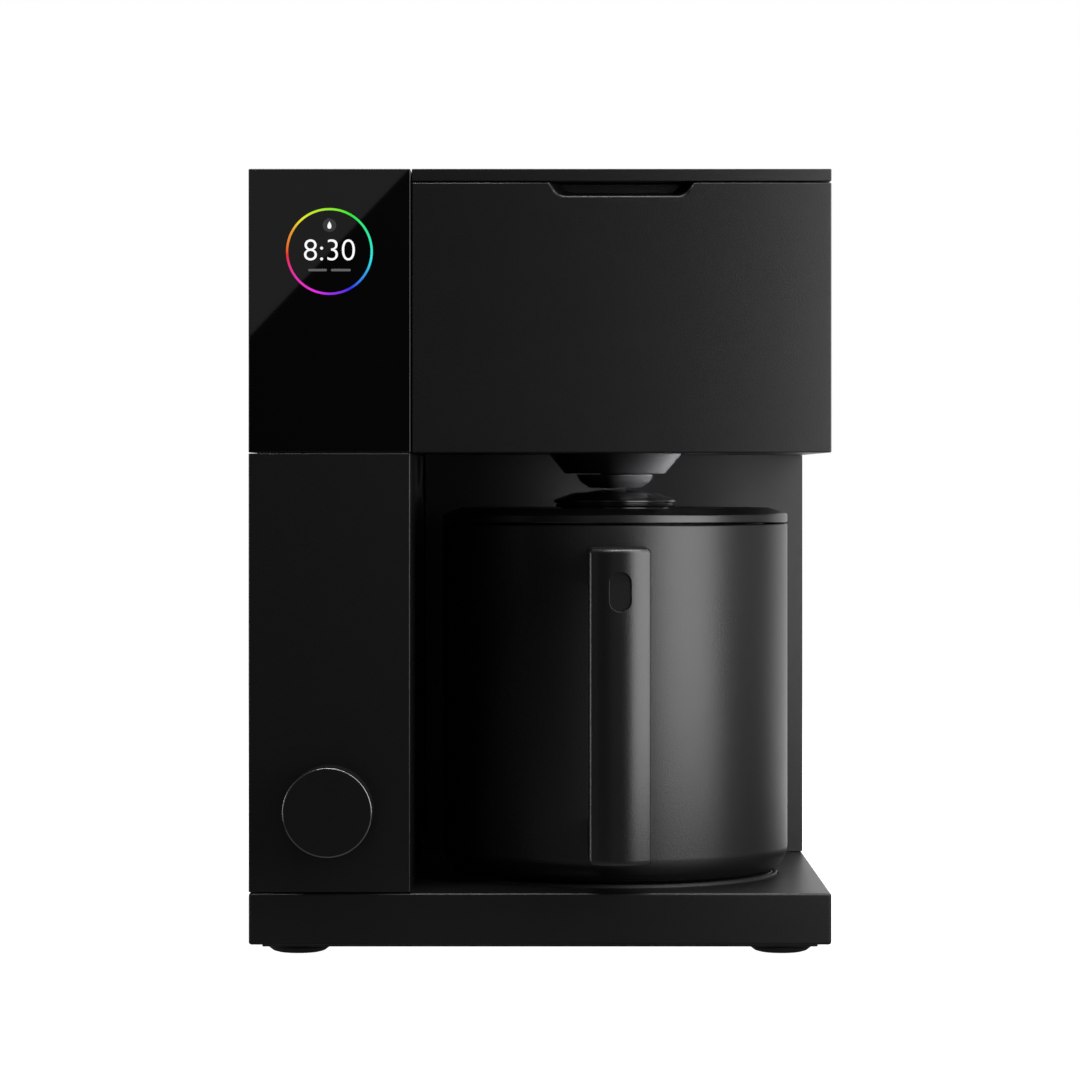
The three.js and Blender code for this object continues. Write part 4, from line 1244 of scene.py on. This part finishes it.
LIGHTS = [  # name, place, what it points at, size and power
    ("key", (0.223, -0.23, 0.29), (0.0305, -0.022, 0.29), (0.212, 0.5), 1.8),
    ("overhead", (0.1, -0.28, 1.25), (0, -0.08, 0.22), (1.2, 0.1), 15.0),
    ("rear_top", (0.1, 0.9, 1.2), (0, 0.1, 0.2), (1.2, 0.6), 9.0),
    ("left_front", (-1.1, -0.13, 0.12), (0, -0.1, 0.12), (0.2, 0.55), 2.75),
]
CARDS = [  # name, axis across it, place on that axis, extent on the other two, strength
    ("backdrop", "Y", 1.6, (0.12, 2.4, 0.0, 0.9), 1.0),
    ("side_card", "X", 1.6, (-0.35, 0.5, 0.0, 1.2), 0.5),
    ("left_card", "X", -1.6, (-0.1, 1.4, 0.0, 1.2), 0.5),
    ("rear_card", "Y", 1.6, (-1.6, 0.12, 0.0, 1.2), 0.7),
    ("floor_right", "Z", 0.001, (0.14, 1.6, 0.3, 1.6), 0.9),
    ("floor_near", "Z", 0.001, (-0.2, 0.2, -0.24, -0.1), 0.22),
    ("floor_front", "Z", 0.001, (-0.8, 0.8, -2.6, -0.24), 0.07),
    ("floor_bounce", "Z", 0.001, (-0.2, 0.14, -0.1, 0.2), 0.12),
]


def world_and_floor():
    scene = bpy.context.scene
    scene.view_settings.view_transform = "Standard"
    world = bpy.data.worlds.new("studio")
    scene.world = world
    world.use_nodes = True
    nodes, links = world.node_tree.nodes, world.node_tree.links
    background = nodes["Background"]
    rays = nodes.new("ShaderNodeLightPath")
    mix = nodes.new("ShaderNodeMix")
    mix.data_type = "RGBA"
    ambient = 0.022
    mix.inputs["A"].default_value = (ambient, ambient, ambient, 1)
    mix.inputs["B"].default_value = (1, 1, 1, 1)
    links.new(rays.outputs["Is Camera Ray"], mix.inputs["Factor"])
    links.new(mix.outputs["Result"], background.inputs["Color"])

    reach = 6.0
    corners = [(x, y, 0) for x, y in rectangle(-reach, reach, -reach, reach)]
    floor = flat_object("floor", corners)
    pale = surface("pale_floor", (0.4, 0.4, 0.4), 0.9, tone=0.01)
    shader = pale.node_tree.nodes["Principled BSDF"]
    shader.inputs["Emission Color"].default_value = (1, 1, 1, 1)
    shader.inputs["Emission Strength"].default_value = 0.99
    floor.data.materials.append(pale)
    floor.visible_diffuse = False
    floor.visible_glossy = False


def bay_lights():
    """Two small ones over the carafe, for the bay's back wall and the side of the drip stop."""
    wall_y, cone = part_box("back_column")[0].y, middle("drip_stop_body")
    bay_x, bay_z = 0.02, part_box("carafe_shell")[1].z + 9 * MM
    cone.z = bay_z + 0.02
    wall_at, side_at = (bay_x, wall_y - 0.029, bay_z), (0.1, cone.y - 0.02, bay_z + 0.006)
    wall = area_light("bay", wall_at, (bay_x, wall_y, bay_z), (0.02, 0.01), 0.06)
    wall.visible_glossy = False
    side = area_light("bay_side", side_at, cone, (0.02, 0.004), 0.15)
    side.visible_glossy = False
    side.data.spread = math.radians(40)


def stage():
    world_and_floor()
    for light in LIGHTS:
        area_light(*light)
    bay_lights()
    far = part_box("display_glass")[0].y - 2.9
    slanted = [(-1.3, 0.02), (-0.636, 0.02), (0.45, 1.135), (-1.3, 1.135)]
    glow_card("front_card", [(x, far, z) for x, z in slanted], 0.29)
    for name, axis, at, extent, strength in CARDS:
        card = glow_card(name, [place(axis, a, b, at) for a, b in rectangle(*extent)], strength)
        card.visible_diffuse = name == "floor_bounce"


def camera():
    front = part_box("display_glass")[0].y
    distance, height = 1.565, 0.1848
    data = bpy.data.cameras.new("camera")
    data.sensor_width, data.lens = 36.0, 135.2
    data.shift_y = -0.0565  # leaves the camera level, so upright lines stay upright
    view = new_object("camera", data)
    view.location = (0, front - distance, height)
    view.rotation_euler = (math.pi / 2, 0, 0)
    bpy.context.scene.camera = view


camera()
base_pieces()
feet()
tower_pieces()
dial_pieces()
display_pieces()
head_shell()
deck()
brew_lid()
tank_pieces()
dock()
column()
rear_pieces()
inlet()
basket_pieces()
valve_spring()
carafe_body()
carafe_grip()
carafe_top()
keep_inner_nodes()
stage()
